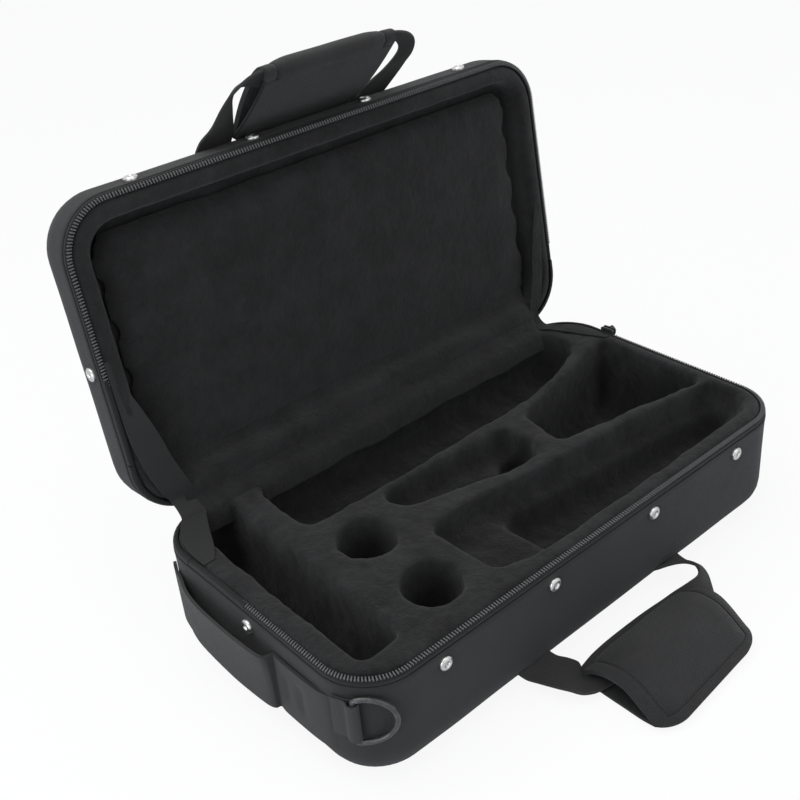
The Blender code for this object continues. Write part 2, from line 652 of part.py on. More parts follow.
def build_ring(name, turn):
    """A D ring in its webbing tab on a corner, at the front left or turned half round for the other."""
    layer = GAP + TAB_THICKNESS / 2
    bar = ring_bar_offset()
    loop = RING_WIRE_RADIUS + GAP + TAB_THICKNESS / 2
    upper = layer + TAB_THICKNESS + GAP
    path = [(TAB_TAIL, layer), (TAB_TAIL * 2 / 3, layer), (TAB_TAIL / 3, layer)]
    for i in range(9):
        angle = -math.pi / 2 - i * math.pi / 8
        path.append((loop * math.cos(angle), bar + loop * math.sin(angle)))
    path += [(loop * 0.8, bar + loop * 0.8), (loop * 1.5, (bar + upper) / 2 + GAP),
             (loop * 2.2, upper), (TAB_TAIL * 3 / 4, upper), (TAB_TAIL, upper)]
    points = [around_corner(along, out) for along, out in path]
    low = RING_HEIGHT - TAB_HEIGHT / 2
    tab = ribbon_on_edge(points, TAB_THICKNESS, low, low + TAB_HEIGHT, name)
    add_object(name + "_tab", tab, "webbing", None, turn)

    way = RING_CORNER_ANGLE + math.pi / 2 + RING_REST_ANGLE
    place = Matrix.Translation(around_corner(0, bar) + Vector((0, 0, RING_HEIGHT)))
    matrix = turn @ place @ Matrix.Rotation(way, 4, "Z") @ Matrix.Rotation(math.pi / 2, 4, "X")
    half = RING_INNER_HEIGHT / 2 + RING_WIRE_RADIUS
    start = RING_DEPTH * RING_CORNER_SHARE
    outline = [(0, half - start / 2), (start / 4, half - start / 8)]
    for i in range(13):
        angle = math.pi / 2 - i * math.pi / 12
        outline.append((start + (RING_DEPTH - start) * math.cos(angle), half * math.sin(angle)))
    outline += [(start / 4, start / 8 - half), (0, start / 2 - half)]
    outline += [(0, (start / 2 - half) / 2), (0, 0), (0, (half - start / 2) / 2)]
    curve = bpy.data.curves.new(name, "CURVE")
    curve.dimensions = "3D"
    curve.bevel_depth = RING_WIRE_RADIUS
    curve.bevel_resolution = 2
    spline = curve.splines.new("POLY")
    spline.points.add(len(outline) - 1)
    for point, (x, y) in zip(spline.points, outline):
        point.co = (x, y, 0, 1)
    spline.use_cyclic_u = True
    add_object(name, curve, "dark_metal", None, matrix)


def smooth_path(points, steps):
    """Points along a smooth curve through the given ones."""
    line = []
    for i in range(len(points) - 1):
        p0 = points[max(i - 1, 0)]
        p1 = points[i]
        p2 = points[i + 1]
        p3 = points[min(i + 2, len(points) - 1)]
        for k in range(steps):
            t = k / steps
            line.append((p1 * 2 + (p2 - p0) * t + (p0 * 2 - p1 * 5 + p2 * 4 - p3) * t ** 2
                         + (p1 * 3 - p0 - p2 * 3 + p3) * t ** 3) / 2)
    line.append(points[-1])
    return line


def end_wall_x(y):
    """The left end wall's outer face, which turns round the corners."""
    beyond = max(abs(y) - (CASE_DEPTH / 2 - CORNER_RADIUS), 0)
    return CORNER_RADIUS - CASE_LENGTH / 2 - math.sqrt(CORNER_RADIUS ** 2 - beyond ** 2)


def build_side_strap():
    """A flat carrying strap sewn at both ends across the left end, bowed out in its middle."""
    seat = GAP + SIDE_STRAP_THICKNESS / 2
    stations = [Vector((share, bulge, 0)) for share, bulge in SIDE_STRAP_SHARES]
    points = []
    for spot in smooth_path(stations, SIDE_STRAP_STEPS):
        y = spot.x * CASE_DEPTH
        points.append(Vector((end_wall_x(y) - seat - max(spot.y, 0) * SIDE_STRAP_BULGE, y, 0)))
    mesh = ribbon_on_edge(points, SIDE_STRAP_THICKNESS, SIDE_STRAP_LOW, SIDE_STRAP_LOW + SIDE_STRAP_WIDTH,
                          "side_strap")
    add_object("side_strap", mesh, "webbing")


def leg_edges(share):
    """Inner and outer edge of a webbing leg at a share of its reach."""
    for low, high in zip(WEB_LEG_SHARES, WEB_LEG_SHARES[1:]):
        if share <= high[0] or high is WEB_LEG_SHARES[-1]:
            t = min((share - low[0]) / (high[0] - low[0]), 1)
            inner = low[1] + (high[1] - low[1]) * t
            outer = low[2] + (high[2] - low[2]) * t
            return inner * CASE_LENGTH, outer * CASE_LENGTH


def webbing_mesh(name, reach, droop, sway, near):
    """A loop of webbing: two legs that bend down and aside on their way to the grip, and a run across."""
    run = reach - WEB_WIDTH
    rows = [0, near / 4, near / 2, near * 3 / 4, near, run, reach - WEB_WIDTH / 2, reach]
    bm = bmesh.new()
    grid = {}
    for j, out in enumerate(rows):
        inner, outer = leg_edges(out / reach)
        ease = min(out / near, 1)
        ease = ease * ease * (3 - 2 * ease)
        for i, x in enumerate((-outer, -inner, inner, outer)):
            for side in (0, 1):
                z = (side - 0.5) * WEB_THICKNESS - droop * ease
                grid[i, j, side] = bm.verts.new((x + sway * ease, -out, z))
    filled = {(i, j) for i in range(3) for j in range(len(rows) - 1) if i != 1 or rows[j] >= run}
    for i, j in filled:
        for side in (0, 1):
            ends = (grid[i + 1, j + 1, side], grid[i, j + 1, side])
            bm.faces.new((grid[i, j, side], grid[i + 1, j, side], *ends))
        edges = (((i, j), (i + 1, j), (i, j - 1)), ((i + 1, j), (i + 1, j + 1), (i + 1, j)),
                 ((i + 1, j + 1), (i, j + 1), (i, j + 1)), ((i, j + 1), (i, j), (i - 1, j)))
        for a, b, neighbour in edges:
            if neighbour not in filled:
                bm.faces.new((grid[*a, 0], grid[*b, 0], grid[*b, 1], grid[*a, 1]))
    return mesh_from(bm, name)


def grip_mesh(name, sway, fold, lip, low, height):
    """A padded wrap round the webbing: a fold at one edge and a thin bound lip at the other."""
    reach = lip - fold
    half = GRIP_LENGTH / 2
    wall_out = GRIP_WALL / abs(reach)
    wall_up = GRIP_WALL / height
    inner_shares = []
    for out, up in GRIP_OUTER_SHARES:
        inner_shares.append((wall_out + out * (1 - 4 * wall_out), wall_up + up * (1 - 2.4 * wall_up)))
    stations = [half - GRIP_PLAN_RADIUS * (1 - math.cos(i * math.pi / 2 / GRIP_ROUND_STATIONS))
                for i in range(GRIP_ROUND_STATIONS + 1)]
    stations += [0] + [-x for x in reversed(stations)]
    outer = []
    inner = []
    for x in stations:
        beyond = max(abs(x) - (half - GRIP_PLAN_RADIUS), 0) / GRIP_PLAN_RADIUS
        taken = GRIP_PLAN_RADIUS / abs(reach) * (1 - math.sqrt(max(1 - beyond ** 2, 0)))
        tall = height * (1 - GRIP_END_TAPER * (x / half) ** 4)
        for shares, rings in ((GRIP_OUTER_SHARES, outer), (inner_shares, inner)):
            rings.append([Vector((x + sway, -(fold + out * (1 - taken) * reach), low + up * tall))
                          for out, up in shares])
    return loft(outer + inner[::-1], name, closed_path=True)


def box_into(bm, low, high):
    """Adds a box between two corners."""
    size = high - low
    matrix = Matrix.Translation((low + high) / 2) @ Matrix.Diagonal((*size, 1))
    bmesh.ops.create_cube(bm, size=1, matrix=matrix)


def build_handle(prefix, frame, reach, droop, sway, fold, lip, low, height):
    """One carrying handle in its own frame, whose origin lies on the line where it swings."""
    near = min(fold, lip)
    web = webbing_mesh(prefix + "_webbing", reach, droop, sway, near)
    add_object(prefix + "_webbing", web, "webbing", frame)
    wrap = grip_mesh(prefix + "_grip", sway, fold, lip, low, height)
    grip = add_object(prefix + "_grip", wrap, "oxford_fabric", frame)
    inner_edge = leg_edges(1)[0] - GAP
    room = WEB_THICKNESS / 2 + GAP
    slots = bmesh.new()
    for side in (-1, 1):
        ends = sorted((sway + side * inner_edge, sway + side * GRIP_LENGTH))
        box_into(slots, Vector((ends[0], -reach - GAP, -droop - room)),
                 Vector((ends[1], OVERRUN - near, -droop + room)))
    cutter = add_cutter(prefix + "_slots", mesh_from(slots, prefix + "_slots"), frame)
    add_boolean(grip, cutter, "DIFFERENCE")


def wall_inset(height):
    """How far the rounded edge has drawn the wall in, at a height from the shell's flat face."""
    below = max(EDGE_FILLET - height, 0)
    return EDGE_FILLET - math.sqrt(EDGE_FILLET ** 2 - below ** 2)


def build_handles(lid_frame):
    """The base's handle lies out on the table; the lid's leans towards the rim."""
    stand = GAP + WEB_THICKNESS / 2
    y = wall_inset(BASE_HANDLE_RISE) - CASE_DEPTH / 2 - stand
    frame = add_empty("base_handle_axis", None, Matrix.Translation((0, y, BASE_HANDLE_RISE)))
    low = FLOOR_CLEARANCE - BASE_HANDLE_RISE
    build_handle("base_handle", frame, BASE_WEB_REACH, BASE_WEB_DROOP, BASE_HANDLE_SWAY, BASE_GRIP_NEAR,
                 BASE_GRIP_FAR, low, BASE_GRIP_HEIGHT)
    y = wall_inset(LID_HANDLE_DROP) - CASE_DEPTH / 2 - stand - HINGE_Y
    lean = Matrix.Rotation(LID_HANDLE_LEAN, 4, "X")
    matrix = Matrix.Translation((0, y, LID_HEIGHT - LID_HANDLE_DROP)) @ lean
    frame = add_empty("lid_handle_axis", lid_frame, matrix)
    low = -GRIP_WALL - WEB_THICKNESS / 2 - 2 * GAP
    build_handle("lid_handle", frame, LID_WEB_REACH, 0, 0, LID_GRIP_FAR, LID_GRIP_NEAR, low, LID_GRIP_HEIGHT)


def extruded(name, profile, axis_place, half_width):
    """A profile given as (out, up) pairs, drawn along Y from -half_width to half_width."""
    rings = []
    for y in (-half_width, half_width):
        rings.append([axis_place + Vector((out, y, up)) for out, up in profile])
    return loft(rings, name)


def build_slider(name, pull_name, side):
    """A zip slider on the coil of an end wall, with its bail and a pull that hangs from it."""
    y = zip_end() - SLIDER_END_DISTANCE
    place = Vector((side * (CASE_LENGTH / 2 - COIL_INSET), y, BASE_HEIGHT))
    mouth = COIL_RADIUS + GAP
    plate = mouth + SLIDER_PLATE
    high = SLIDER_HALF_HEIGHT
    post = SLIDER_POST_HALF
    quarter = [(mouth, post), (mouth, high), (plate, high)]
    profile = quarter + [(a, -b) for a, b in quarter[::-1]] + [(-a, -b) for a, b in quarter]
    profile += [(-a, b) for a, b in quarter[::-1]]
    body = extruded(name, profile, Vector((0, 0, 0)), SLIDER_LENGTH / 2)
    slider = add_object(name, body, "dark_metal", None, Matrix.Translation(place))
    bar = plate + BAIL_STAND
    wire = BAIL_WIRE_HALF
    span = BAIL_HALF_SPAN
    foot = plate - SLIDER_PLATE / 2
    arch = [(foot, -span - 2 * wire), (bar + wire, -span - 2 * wire), (bar + wire, span + 2 * wire),
            (foot, span + 2 * wire), (foot, span), (bar - wire, span), (bar - wire, -span), (foot, -span)]
    rings = [[Vector((side * out, along, up)) for out, along in arch] for up in (-wire, wire)]
    bail = add_cutter(name + "_bail", loft(rings, name + "_bail"), slider)
    add_boolean(slider, bail, "UNION")

    axis = add_empty(pull_name + "_axis", slider, Matrix.Translation((side * bar, 0, 0)))
    thick = PULL_THICKNESS / 2
    outline = [(-thick, -PULL_LENGTH), (thick, -PULL_LENGTH)]
    start = math.asin(thick / PULL_EYE_RADIUS)
    sweep = 2 * math.pi - 2 * start
    for i in range(EYE_SIDES + 1):
        angle = -math.pi / 2 + start + sweep * i / EYE_SIDES
        outline.append((PULL_EYE_RADIUS * math.cos(angle), PULL_EYE_RADIUS * math.sin(angle)))
    pull = add_object(pull_name, extruded(pull_name, outline, Vector((0, 0, 0)), PULL_WIDTH / 2),
                      "dark_metal", axis)
    bore = bmesh.new()
    bmesh.ops.create_cone(bore, cap_ends=True, segments=EYE_SIDES, radius1=PULL_BORE_RADIUS,
                          radius2=PULL_BORE_RADIUS, depth=2 * PULL_WIDTH,
                          matrix=Matrix.Rotation(math.pi / 2, 4, "X"))
    cutter = add_cutter(pull_name + "_bore", mesh_from(bore, pull_name + "_bore"), axis)
    add_boolean(pull, cutter, "DIFFERENCE")


def main():
    clear_scene()
    hinge = Matrix.Translation((0, HINGE_Y, HINGE_Z)) @ Matrix.Rotation(-LID_OPEN_ANGLE, 4, "X")
    lid_frame = add_empty("lid_hinge_axis", None, hinge)
    base_shells, lid_shells = build_shells(lid_frame)
    build_insert()
    build_lid_padding(lid_frame)
    build_zip(lid_frame)
    build_hinge()
    build_rivets(base_shells, lid_shells, lid_frame)
    build_side_strap()
    build_ring("d_ring_left", Matrix.Identity(4))
    build_ring("d_ring_right", Matrix.Rotation(math.pi, 4, "Z"))
    build_handles(lid_frame)
    build_slider("zip_slider", "zip_pull", 1)


main()
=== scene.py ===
import math
import random

import bmesh
import bpy
import numpy as np
from mathutils import Matrix, Vector, noise


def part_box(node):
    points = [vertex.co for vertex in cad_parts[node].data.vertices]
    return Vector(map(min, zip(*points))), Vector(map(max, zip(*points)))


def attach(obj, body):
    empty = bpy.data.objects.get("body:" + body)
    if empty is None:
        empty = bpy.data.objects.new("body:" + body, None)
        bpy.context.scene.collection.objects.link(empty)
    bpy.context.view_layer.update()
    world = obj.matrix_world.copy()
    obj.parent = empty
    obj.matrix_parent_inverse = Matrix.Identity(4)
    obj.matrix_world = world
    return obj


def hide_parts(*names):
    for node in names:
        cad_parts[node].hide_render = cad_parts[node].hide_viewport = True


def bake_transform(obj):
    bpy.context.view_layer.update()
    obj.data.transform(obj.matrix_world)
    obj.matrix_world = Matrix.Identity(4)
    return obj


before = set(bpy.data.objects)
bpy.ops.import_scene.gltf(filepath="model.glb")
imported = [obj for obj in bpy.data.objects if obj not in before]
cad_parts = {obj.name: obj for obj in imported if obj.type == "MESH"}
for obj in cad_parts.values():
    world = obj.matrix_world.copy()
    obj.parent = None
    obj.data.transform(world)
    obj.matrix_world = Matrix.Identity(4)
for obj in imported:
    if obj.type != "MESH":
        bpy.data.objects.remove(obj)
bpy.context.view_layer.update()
bpy.ops.object.select_all(action="DESELECT")
print("frame loaded:", len(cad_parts), "nodes")

case = {
    "length": 0.360,
    "depth": 0.192,
    "baseHeight": 0.0748,
    "lidHeight": 0.0405,
    "corner": 0.033,      # plan radius of the four corners
    "fillet": 0.020,      # rounded edge under the base and over the lid
    "openDegrees": 98.3,
    "hingeY": 0.0968,
    "gap": 0.0003,        # air between pieces that lie on each other
}
halfX = case["length"] / 2
halfY = case["depth"] / 2
cornerR = case["corner"]
baseTop = case["baseHeight"]
gap = case["gap"]
lidOpen = math.radians(case["openDegrees"])

inPlace = Matrix.Identity(4)
turnedOver = Matrix.Diagonal((1, 1, -1, 1))
# a closed lid's points, counted up from its rim, taken to where the open lid stands
lidPlace = (Matrix.Translation((0, case["hingeY"], baseTop)) @ Matrix.Rotation(-lidOpen, 4, "X")
            @ Matrix.Translation((0, -case["hingeY"], 0)))
lidBack = lidPlace.inverted()
lidUp = lidPlace @ turnedOver
lidFromTop = lidPlace @ Matrix.Translation((0, 0, case["lidHeight"])) @ turnedOver
rimUp = Matrix.Translation((0, 0, baseTop))
basePlace = rimUp @ turnedOver      # rim down to the floor


def unit(value):
    # a share, kept from 0 to 1
    return min(max(value, 0), 1)


def ripple(*spot):
    return noise.noise(Vector(spot))


# shader maths
class Wire:
    def __init__(self, graph, socket):
        self.graph = graph
        self.socket = socket

    def op(self, operation, *others, clamp=False):
        settings = {"operation": operation, "use_clamp": clamp}
        return self.graph.add("ShaderNodeMath", settings, (self, *others))

    def __add__(self, other):
        return self.op("ADD", other)

    def __sub__(self, other):
        return self.op("SUBTRACT", other)

    def __rsub__(self, other):
        return self.graph.add("ShaderNodeMath", {"operation": "SUBTRACT"}, (other, self))

    def __mul__(self, other):
        return self.op("MULTIPLY", other)

    def __abs__(self):
        return self.op("ABSOLUTE")

    __radd__ = __add__
    __rmul__ = __mul__

    def sine(self):
        return self.op("SINE")

    def clamped(self):
        return self.op("MULTIPLY", 1.0, clamp=True)


class Graph:
    def __init__(self, tree):
        self.tree = tree

    def add(self, kind, settings=None, feeds=(), out=0):
        made = self.tree.nodes.new(kind)
        for key, value in (settings or {}).items():
            setattr(made, key, value)
        for key, value in feeds.items() if isinstance(feeds, dict) else enumerate(feeds):
            self.feed(made.inputs[key], value)
        return Wire(self, made.outputs[out]) if made.outputs else None

    def feed(self, socket, value):
        if isinstance(value, Wire):
            self.tree.links.new(value.socket, socket)
        else:
            socket.default_value = value


class Look(Graph):
    def __init__(self, name, colour, roughness, metallic=0.0, **constants):
        self.material = bpy.data.materials.new(name)
        self.material.use_nodes = True
        super().__init__(self.material.node_tree)
        self.shader = self.tree.nodes["Principled BSDF"]
        self.paint(Base_Color=(*colour, 1), Roughness=roughness, Metallic=metallic, **constants)

    def paint(self, **sockets):
        for name, value in sockets.items():
            self.feed(self.shader.inputs[name.replace("_", " ")], value)
        return self.material

    def uv(self):
        flat = self.add("ShaderNodeUVMap", {"uv_map": "UVMap"})
        return [self.add("ShaderNodeSeparateXYZ", None, (flat,), axis) for axis in (0, 1)]

    def spot(self):
        return self.add("ShaderNodeTexCoord", None, (), "Object")

    def cloud(self, where, scale, detail, roughness=0.55, distortion=0.0):
        return self.add("ShaderNodeTexNoise", None, {"Vector": where, "Scale": scale, "Detail": detail,
                                                     "Roughness": roughness, "Distortion": distortion})

    def blend(self, share, one, other):
        one = one if isinstance(one, Wire) else (*one, 1)
        other = other if isinstance(other, Wire) else (*other, 1)
        return self.add("ShaderNodeMix", {"data_type": "RGBA"}, {0: share, 6: one, 7: other}, 2)

    def ramp(self, share, low, high):
        made = self.add("ShaderNodeValToRGB", None, (share,))
        black, white = made.socket.node.color_ramp.elements
        black.position = low
        white.position = high
        return made

    def bump(self, height, distance, strength, under=None):
        feeds = {"Height": height, "Distance": distance, "Strength": strength}
        if under is not None:
            feeds["Normal"] = under
        return self.add("ShaderNodeBump", None, feeds)


cloudScale = {
    "wash": 26,         # broad unevenness of the dye
    "slub": 420,        # thick and thin threads
    "rub": 9,           # places worn smoother
    "patch": 46,        # blotches where the pile lies over
    "tuft": 240,
    "pile": 1300,       # tips of the pile
    "strapWash": 60,
    "smear": 320,
    "polish": 2600,
    "coilSmear": 500,
    "coilGrain": 3000,
    "fibre": 900,
}


def weaveHeight(u, v, pitch):
    warp = (u * (math.pi / pitch)).sine()
    weft = (v * (math.pi / pitch)).sine()
    onTop = (warp * weft * 3.0 + 0.5).clamped()
    return onTop * abs(warp) + (1 - onTop) * abs(weft)


def fabricLook(name, dark, light, pitch, depth, roughness):
    look = Look(name, dark, roughness, Sheen_Weight=0.10, Sheen_Roughness=0.45,
                Specular_IOR_Level=0.24)
    u, v = look.uv()
    spot = look.spot()
    threads = weaveHeight(u, v, pitch)
    wash = look.cloud(spot, cloudScale["wash"], 4)
    slub = look.cloud(spot, cloudScale["slub"], 2)
    share = (wash * 0.9 + slub * 0.35 + threads * 0.5 - 0.55).clamped()
    rub = look.ramp(look.cloud(spot, cloudScale["rub"], 5, 0.6), 0.52, 0.78)
    normal = look.bump(threads, depth, 0.55)
    normal = look.bump(wash, 0.0012, 0.30, normal)
    return look.paint(Base_Color=look.blend(share, dark, light), Normal=normal,
                      Roughness=roughness - 0.10 * rub - 0.08 * threads)


def plushLook(name, dark, light, paintedPocketShade=None):
    # short pile: blotches, tufts and fine tips, with painted shade that darkens it down in a pocket
    look = Look(name, dark, 0.96, Sheen_Weight=0.10, Sheen_Roughness=0.6, Specular_IOR_Level=0.12)
    spot = look.spot()
    patches = look.cloud(spot, cloudScale["patch"], 5, 0.62)
    tufts = look.cloud(spot, cloudScale["tuft"], 4, 0.65)
    pile = look.cloud(spot, cloudScale["pile"], 3, 0.7)
    share = (look.ramp(patches, 0.38, 0.66) * 0.58 + look.ramp(tufts, 0.36, 0.70) * 0.34
             + look.ramp(pile, 0.35, 0.75) * 0.34 - 0.16).clamped()
    colour = look.blend(share, dark, light)
    if paintedPocketShade:
        # painted shade: the colour darkens with depth below the rim, standing in for the shade that falls
        # into the pockets
        height = look.add("ShaderNodeSeparateXYZ", None, (spot,), 2)
        lit = ((height - (paintedPocketShade["top"] - paintedPocketShade["reach"])) * (1 / paintedPocketShade["reach"])
               + (patches - 0.5) * 0.5).clamped()
        colour = look.blend(lit, tuple(c * paintedPocketShade["deepest"] for c in dark), colour)
    normal = look.bump(pile, 0.0007, 0.9)
    normal = look.bump(tufts, 0.0013, 0.6, normal)
    normal = look.bump(patches, 0.0030, 0.35, normal)
    return look.paint(Base_Color=colour, Normal=normal)


def webbingLook(name, dark, light, rib, depth):
    look = Look(name, dark, 0.74, Sheen_Weight=0.06, Sheen_Roughness=0.4, Specular_IOR_Level=0.45)
    u, v = look.uv()
    zigzag = abs((u * (math.pi / (rib * 3))).sine()) * (rib * 1.4)
    ribs = abs(((v + zigzag) * (math.pi / rib)).sine())
    ends = abs((u * (math.pi / (rib * 0.8))).sine())
    wash = look.cloud(look.spot(), cloudScale["strapWash"], 4)
    share = (ribs * 0.55 + ends * 0.2 + wash * 0.6 - 0.45).clamped()
    normal = look.bump(ribs * 0.7 + ends * 0.3, depth, 0.8)
    normal = look.bump(wash, 0.0008, 0.3, normal)
    return look.paint(Base_Color=look.blend(share, dark, light), Normal=normal,
                      Roughness=0.82 - 0.14 * ribs)


def metalLook(name, colour, roughness, worn, metallic=1.0):
    look = Look(name, colour, roughness, metallic)
    spot = look.spot()
    smears = look.cloud(spot, cloudScale["smear"], 4, 0.6, 0.5)
    fine = look.cloud(spot, cloudScale["polish"], 2)
    return look.paint(Base_Color=look.blend(look.ramp(smears, 0.45, 0.8), colour, worn),
                      Roughness=roughness + smears * 0.12, Normal=look.bump(fine, 0.00006, 0.5))


def plasticLook(name, dark, light, roughness):
    look = Look(name, dark, roughness, Specular_IOR_Level=0.5)
    spot = look.spot()
    smears = look.cloud(spot, cloudScale["coilSmear"], 3)
    fine = look.cloud(spot, cloudScale["coilGrain"], 2)
    return look.paint(Base_Color=look.blend(smears, dark, light), Roughness=roughness + smears * 0.15,
                      Normal=look.bump(fine, 0.00005, 0.4))


def boardLook(name, dark, light):
    look = Look(name, dark, 0.85)
    fibres = look.cloud(look.spot(), cloudScale["fibre"], 4, 0.7, 1.2)
    return look.paint(Base_Color=look.blend(fibres, dark, light), Normal=look.bump(fibres, 0.0003, 0.6))


looks = {
    "oxford": fabricLook("oxfordFabric", (0.0084, 0.0086, 0.0091), (0.0235, 0.0238, 0.0246),
                         pitch=0.00062, depth=0.00026, roughness=0.80),
    "wrap": fabricLook("wrapFabric", (0.0070, 0.0070, 0.0074), (0.034, 0.034, 0.035),
                       pitch=0.00105, depth=0.00055, roughness=0.78),
    "tape": fabricLook("zipTape", (0.0045, 0.0045, 0.0048), (0.0125, 0.0125, 0.0130),
                       pitch=0.00070, depth=0.00026, roughness=0.82),
    "ribbon": fabricLook("stayRibbon", (0.012, 0.012, 0.0125), (0.022, 0.022, 0.0225),
                         pitch=0.00036, depth=0.00008, roughness=0.70),
    # painted shade for the insert's pockets: darker below top, down to the deepest share over reach
    "plush": plushLook("plush", (0.0052, 0.0052, 0.0054), (0.0225, 0.0225, 0.0230),
                       {"top": baseTop - 0.003, "reach": 0.026, "deepest": 0.45}),
    "lining": plushLook("liningPlush", (0.0058, 0.0058, 0.0060), (0.0175, 0.0175, 0.0180)),
    "webbing": webbingLook("webbing", (0.010, 0.010, 0.0105), (0.029, 0.0285, 0.029),
                           rib=0.00085, depth=0.00040),
    "coil": plasticLook("zipCoil", (0.034, 0.034, 0.036), (0.082, 0.082, 0.085), roughness=0.28),
    "thread": plasticLook("thread", (0.022, 0.022, 0.023), (0.055, 0.055, 0.056), roughness=0.55),
    "nickel": metalLook("nickel", (0.60, 0.60, 0.59), 0.24, (0.36, 0.36, 0.35)),
    "blackMetal": metalLook("blackMetal", (0.045, 0.045, 0.046), 0.20, (0.09, 0.09, 0.09), 0.45),
    "board": boardLook("stiffener", (0.010, 0.010, 0.010), (0.020, 0.020, 0.020)),
}
print("looks ready:", len(looks))


# helpers
def mode(name):
    bpy.ops.object.mode_set(mode=name)


def deselectAll():
    if bpy.context.object and bpy.context.object.mode != "OBJECT":
        mode("OBJECT")
    bpy.ops.object.select_all(action="DESELECT")


def current(name):
    piece = bpy.context.object
    piece.name = name
    piece.data.name = name
    return piece


def linked(name, data):
    piece = bpy.data.objects.new(name, data)
    bpy.context.scene.collection.objects.link(piece)
    return piece


def only(piece):
    deselectAll()
    piece.select_set(True)
    bpy.context.view_layer.objects.active = piece


def applied(piece, kind, **settings):
    only(piece)
    modifier = piece.modifiers.new(kind.title(), kind)
    for key, value in settings.items():
        setattr(modifier, key, value)
    bpy.ops.object.modifier_apply(modifier=modifier.name)
    return piece


def settled(piece):
    only(piece)
    bpy.ops.object.transform_apply(location=True, rotation=True, scale=True)
    return piece


def outward(piece):
    only(piece)
    mode("EDIT")
    bpy.ops.mesh.select_all(action="SELECT")
    bpy.ops.mesh.remove_doubles(threshold=0.000005)
    bpy.ops.mesh.normals_make_consistent(inside=False)
    mode("OBJECT")
    return piece


def smoothed(piece, degrees=42):
    only(piece)
    bpy.ops.object.shade_smooth_by_angle(angle=math.radians(degrees))
    return piece


def softEdges(piece, amount):
    applied(piece, "BEVEL", width=amount, segments=2, limit_method="ANGLE", angle_limit=math.radians(60))
    return smoothed(piece, 60)


def taken(piece, place):
    # a mirrored place turns the faces inside out, so they are turned back
    piece.data.transform(place)
    if place.to_3x3().determinant() < 0:
        piece.data.flip_normals()
    return piece


def points(piece, kind="co"):
    flat = np.empty(len(piece.data.vertices) * 3)
    piece.data.vertices.foreach_get(kind, flat)
    return flat.reshape(-1, 3)


def setPoints(piece, places):
    piece.data.vertices.foreach_set("co", np.asarray(places, float).ravel())
    piece.data.update()
    return piece


def nudge(piece, move):
    piece.data.update()
    normals = points(piece, "normal")
    places = points(piece)
    for i, spot in enumerate(places):
        places[i] += move(Vector(spot), Vector(normals[i]))
    return setPoints(piece, places)


def dressed(piece, look, body, *replaced):
    piece.data.materials.clear()
    piece.data.materials.append(looks[look])
    if body:
        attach(piece, body)
    if replaced:
        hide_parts(*replaced)
    return piece


def bent(name, across, along, place, size, thickness):
    # a grid laid out flat, then every corner of it taken to its place
    deselectAll()
    bpy.ops.mesh.primitive_grid_add(x_subdivisions=across, y_subdivisions=along, size=1)
    piece = current(name)
    setPoints(piece, [place(x + 0.5, y + 0.5) for x, y, z in points(piece)])
    uvs = piece.data.uv_layers[0]
    uvs.name = "UVMap"
    spread = np.empty(len(uvs.data) * 2)
    uvs.data.foreach_get("uv", spread)
    uvs.data.foreach_set("uv", (spread.reshape(-1, 2) * np.array(size)).ravel())
    applied(piece, "SOLIDIFY", thickness=thickness, offset=0, use_even_offset=True)
    return smoothed(piece)


def scattered(name, seed, places):
    # many copies of one small shape in one mesh
    shape = points(seed)
    faces = [tuple(face.vertices) for face in seed.data.polygons]
    corners = []
    skin = []
    for k, place in enumerate(places):
        turn = np.array(place)
        corners.append(shape @ turn[:3, :3].T + turn[:3, 3])
        skin += [tuple(i + k * len(shape) for i in face) for face in faces]
    mesh = bpy.data.meshes.new(name)
    mesh.from_pydata(np.concatenate(corners).tolist(), [], skin)
    mesh.validate()
    return smoothed(linked(name, mesh), 50)


def standing(origin, along, up):
    # a frame whose x runs along and whose z points up from the surface
    along = Vector(along).normalized()
    up = (Vector(up) - along * Vector(up).dot(along)).normalized()
    turn = Matrix((along, up.cross(along), up)).transposed().to_4x4()
    turn.translation = origin
    return turn


def smoothLine(stations, steps):
    # points, or rows of numbers, along a smooth curve through the given ones
    rows = [np.array(s, float) for s in stations]
    line = []
    for i in range(len(rows) - 1):
        a = rows[max(i - 1, 0)]
        b = rows[i]
        c = rows[i + 1]
        d = rows[min(i + 2, len(rows) - 1)]
        for k in range(steps):
            t = k / steps
            line.append((b * 2 + (c - a) * t + (a * 2 - b * 5 + c * 4 - d) * t ** 2
                         + (b * 3 - a - c * 3 + d) * t ** 3) / 2)
    line.append(rows[-1])
    return line


def alongLine(line, share):
    at = unit(share) * (len(line) - 1)
    low = min(int(at), len(line) - 2)
    return line[low] + (line[low + 1] - line[low]) * (at - low)


def runs(line, axes=None):
    # the length of each step of a line
    return [float(np.linalg.norm((b - a)[:axes])) for a, b in zip(line, line[1:])]


# the outline seen from above, walked from the rear end of the left wall round by the front
wallRun = case["depth"] - 2 * cornerR
frontRun = case["length"] - 2 * cornerR
arcRun = math.pi * cornerR / 2
girth = 2 * (wallRun + frontRun) + 4 * arcRun
arcX = halfX - cornerR
arcY = halfY - cornerR
# each leg's length and start, and its direction; an arc has its centre and first angle instead
outlineLegs = (
    (wallRun, (-halfX, arcY), (0, -1)), (arcRun, (-arcX, -arcY), math.pi),
    (frontRun, (-arcX, -halfY), (1, 0)), (arcRun, (arcX, -arcY), math.pi * 1.5),
    (wallRun, (halfX, -arcY), (0, 1)), (arcRun, (arcX, arcY), 0),
    (frontRun, (arcX, halfY), (-1, 0)), (arcRun, (-arcX, arcY), math.pi / 2),
)
bandStep = 0.004


def rimAt(run):
    # a point of the outline and its outward normal
    run = run % girth
    for length, start, way in outlineLegs:
        if run <= length:
            if isinstance(way, tuple):
                spot = Vector((start[0] + way[0] * run, start[1] + way[1] * run, 0))
                return spot, Vector((way[1], -way[0], 0))
            angle = way + run / cornerR
            out = Vector((math.cos(angle), math.sin(angle), 0))
            return Vector((*start, 0)) + out * cornerR, out
        run -= length
    return rimAt(0)


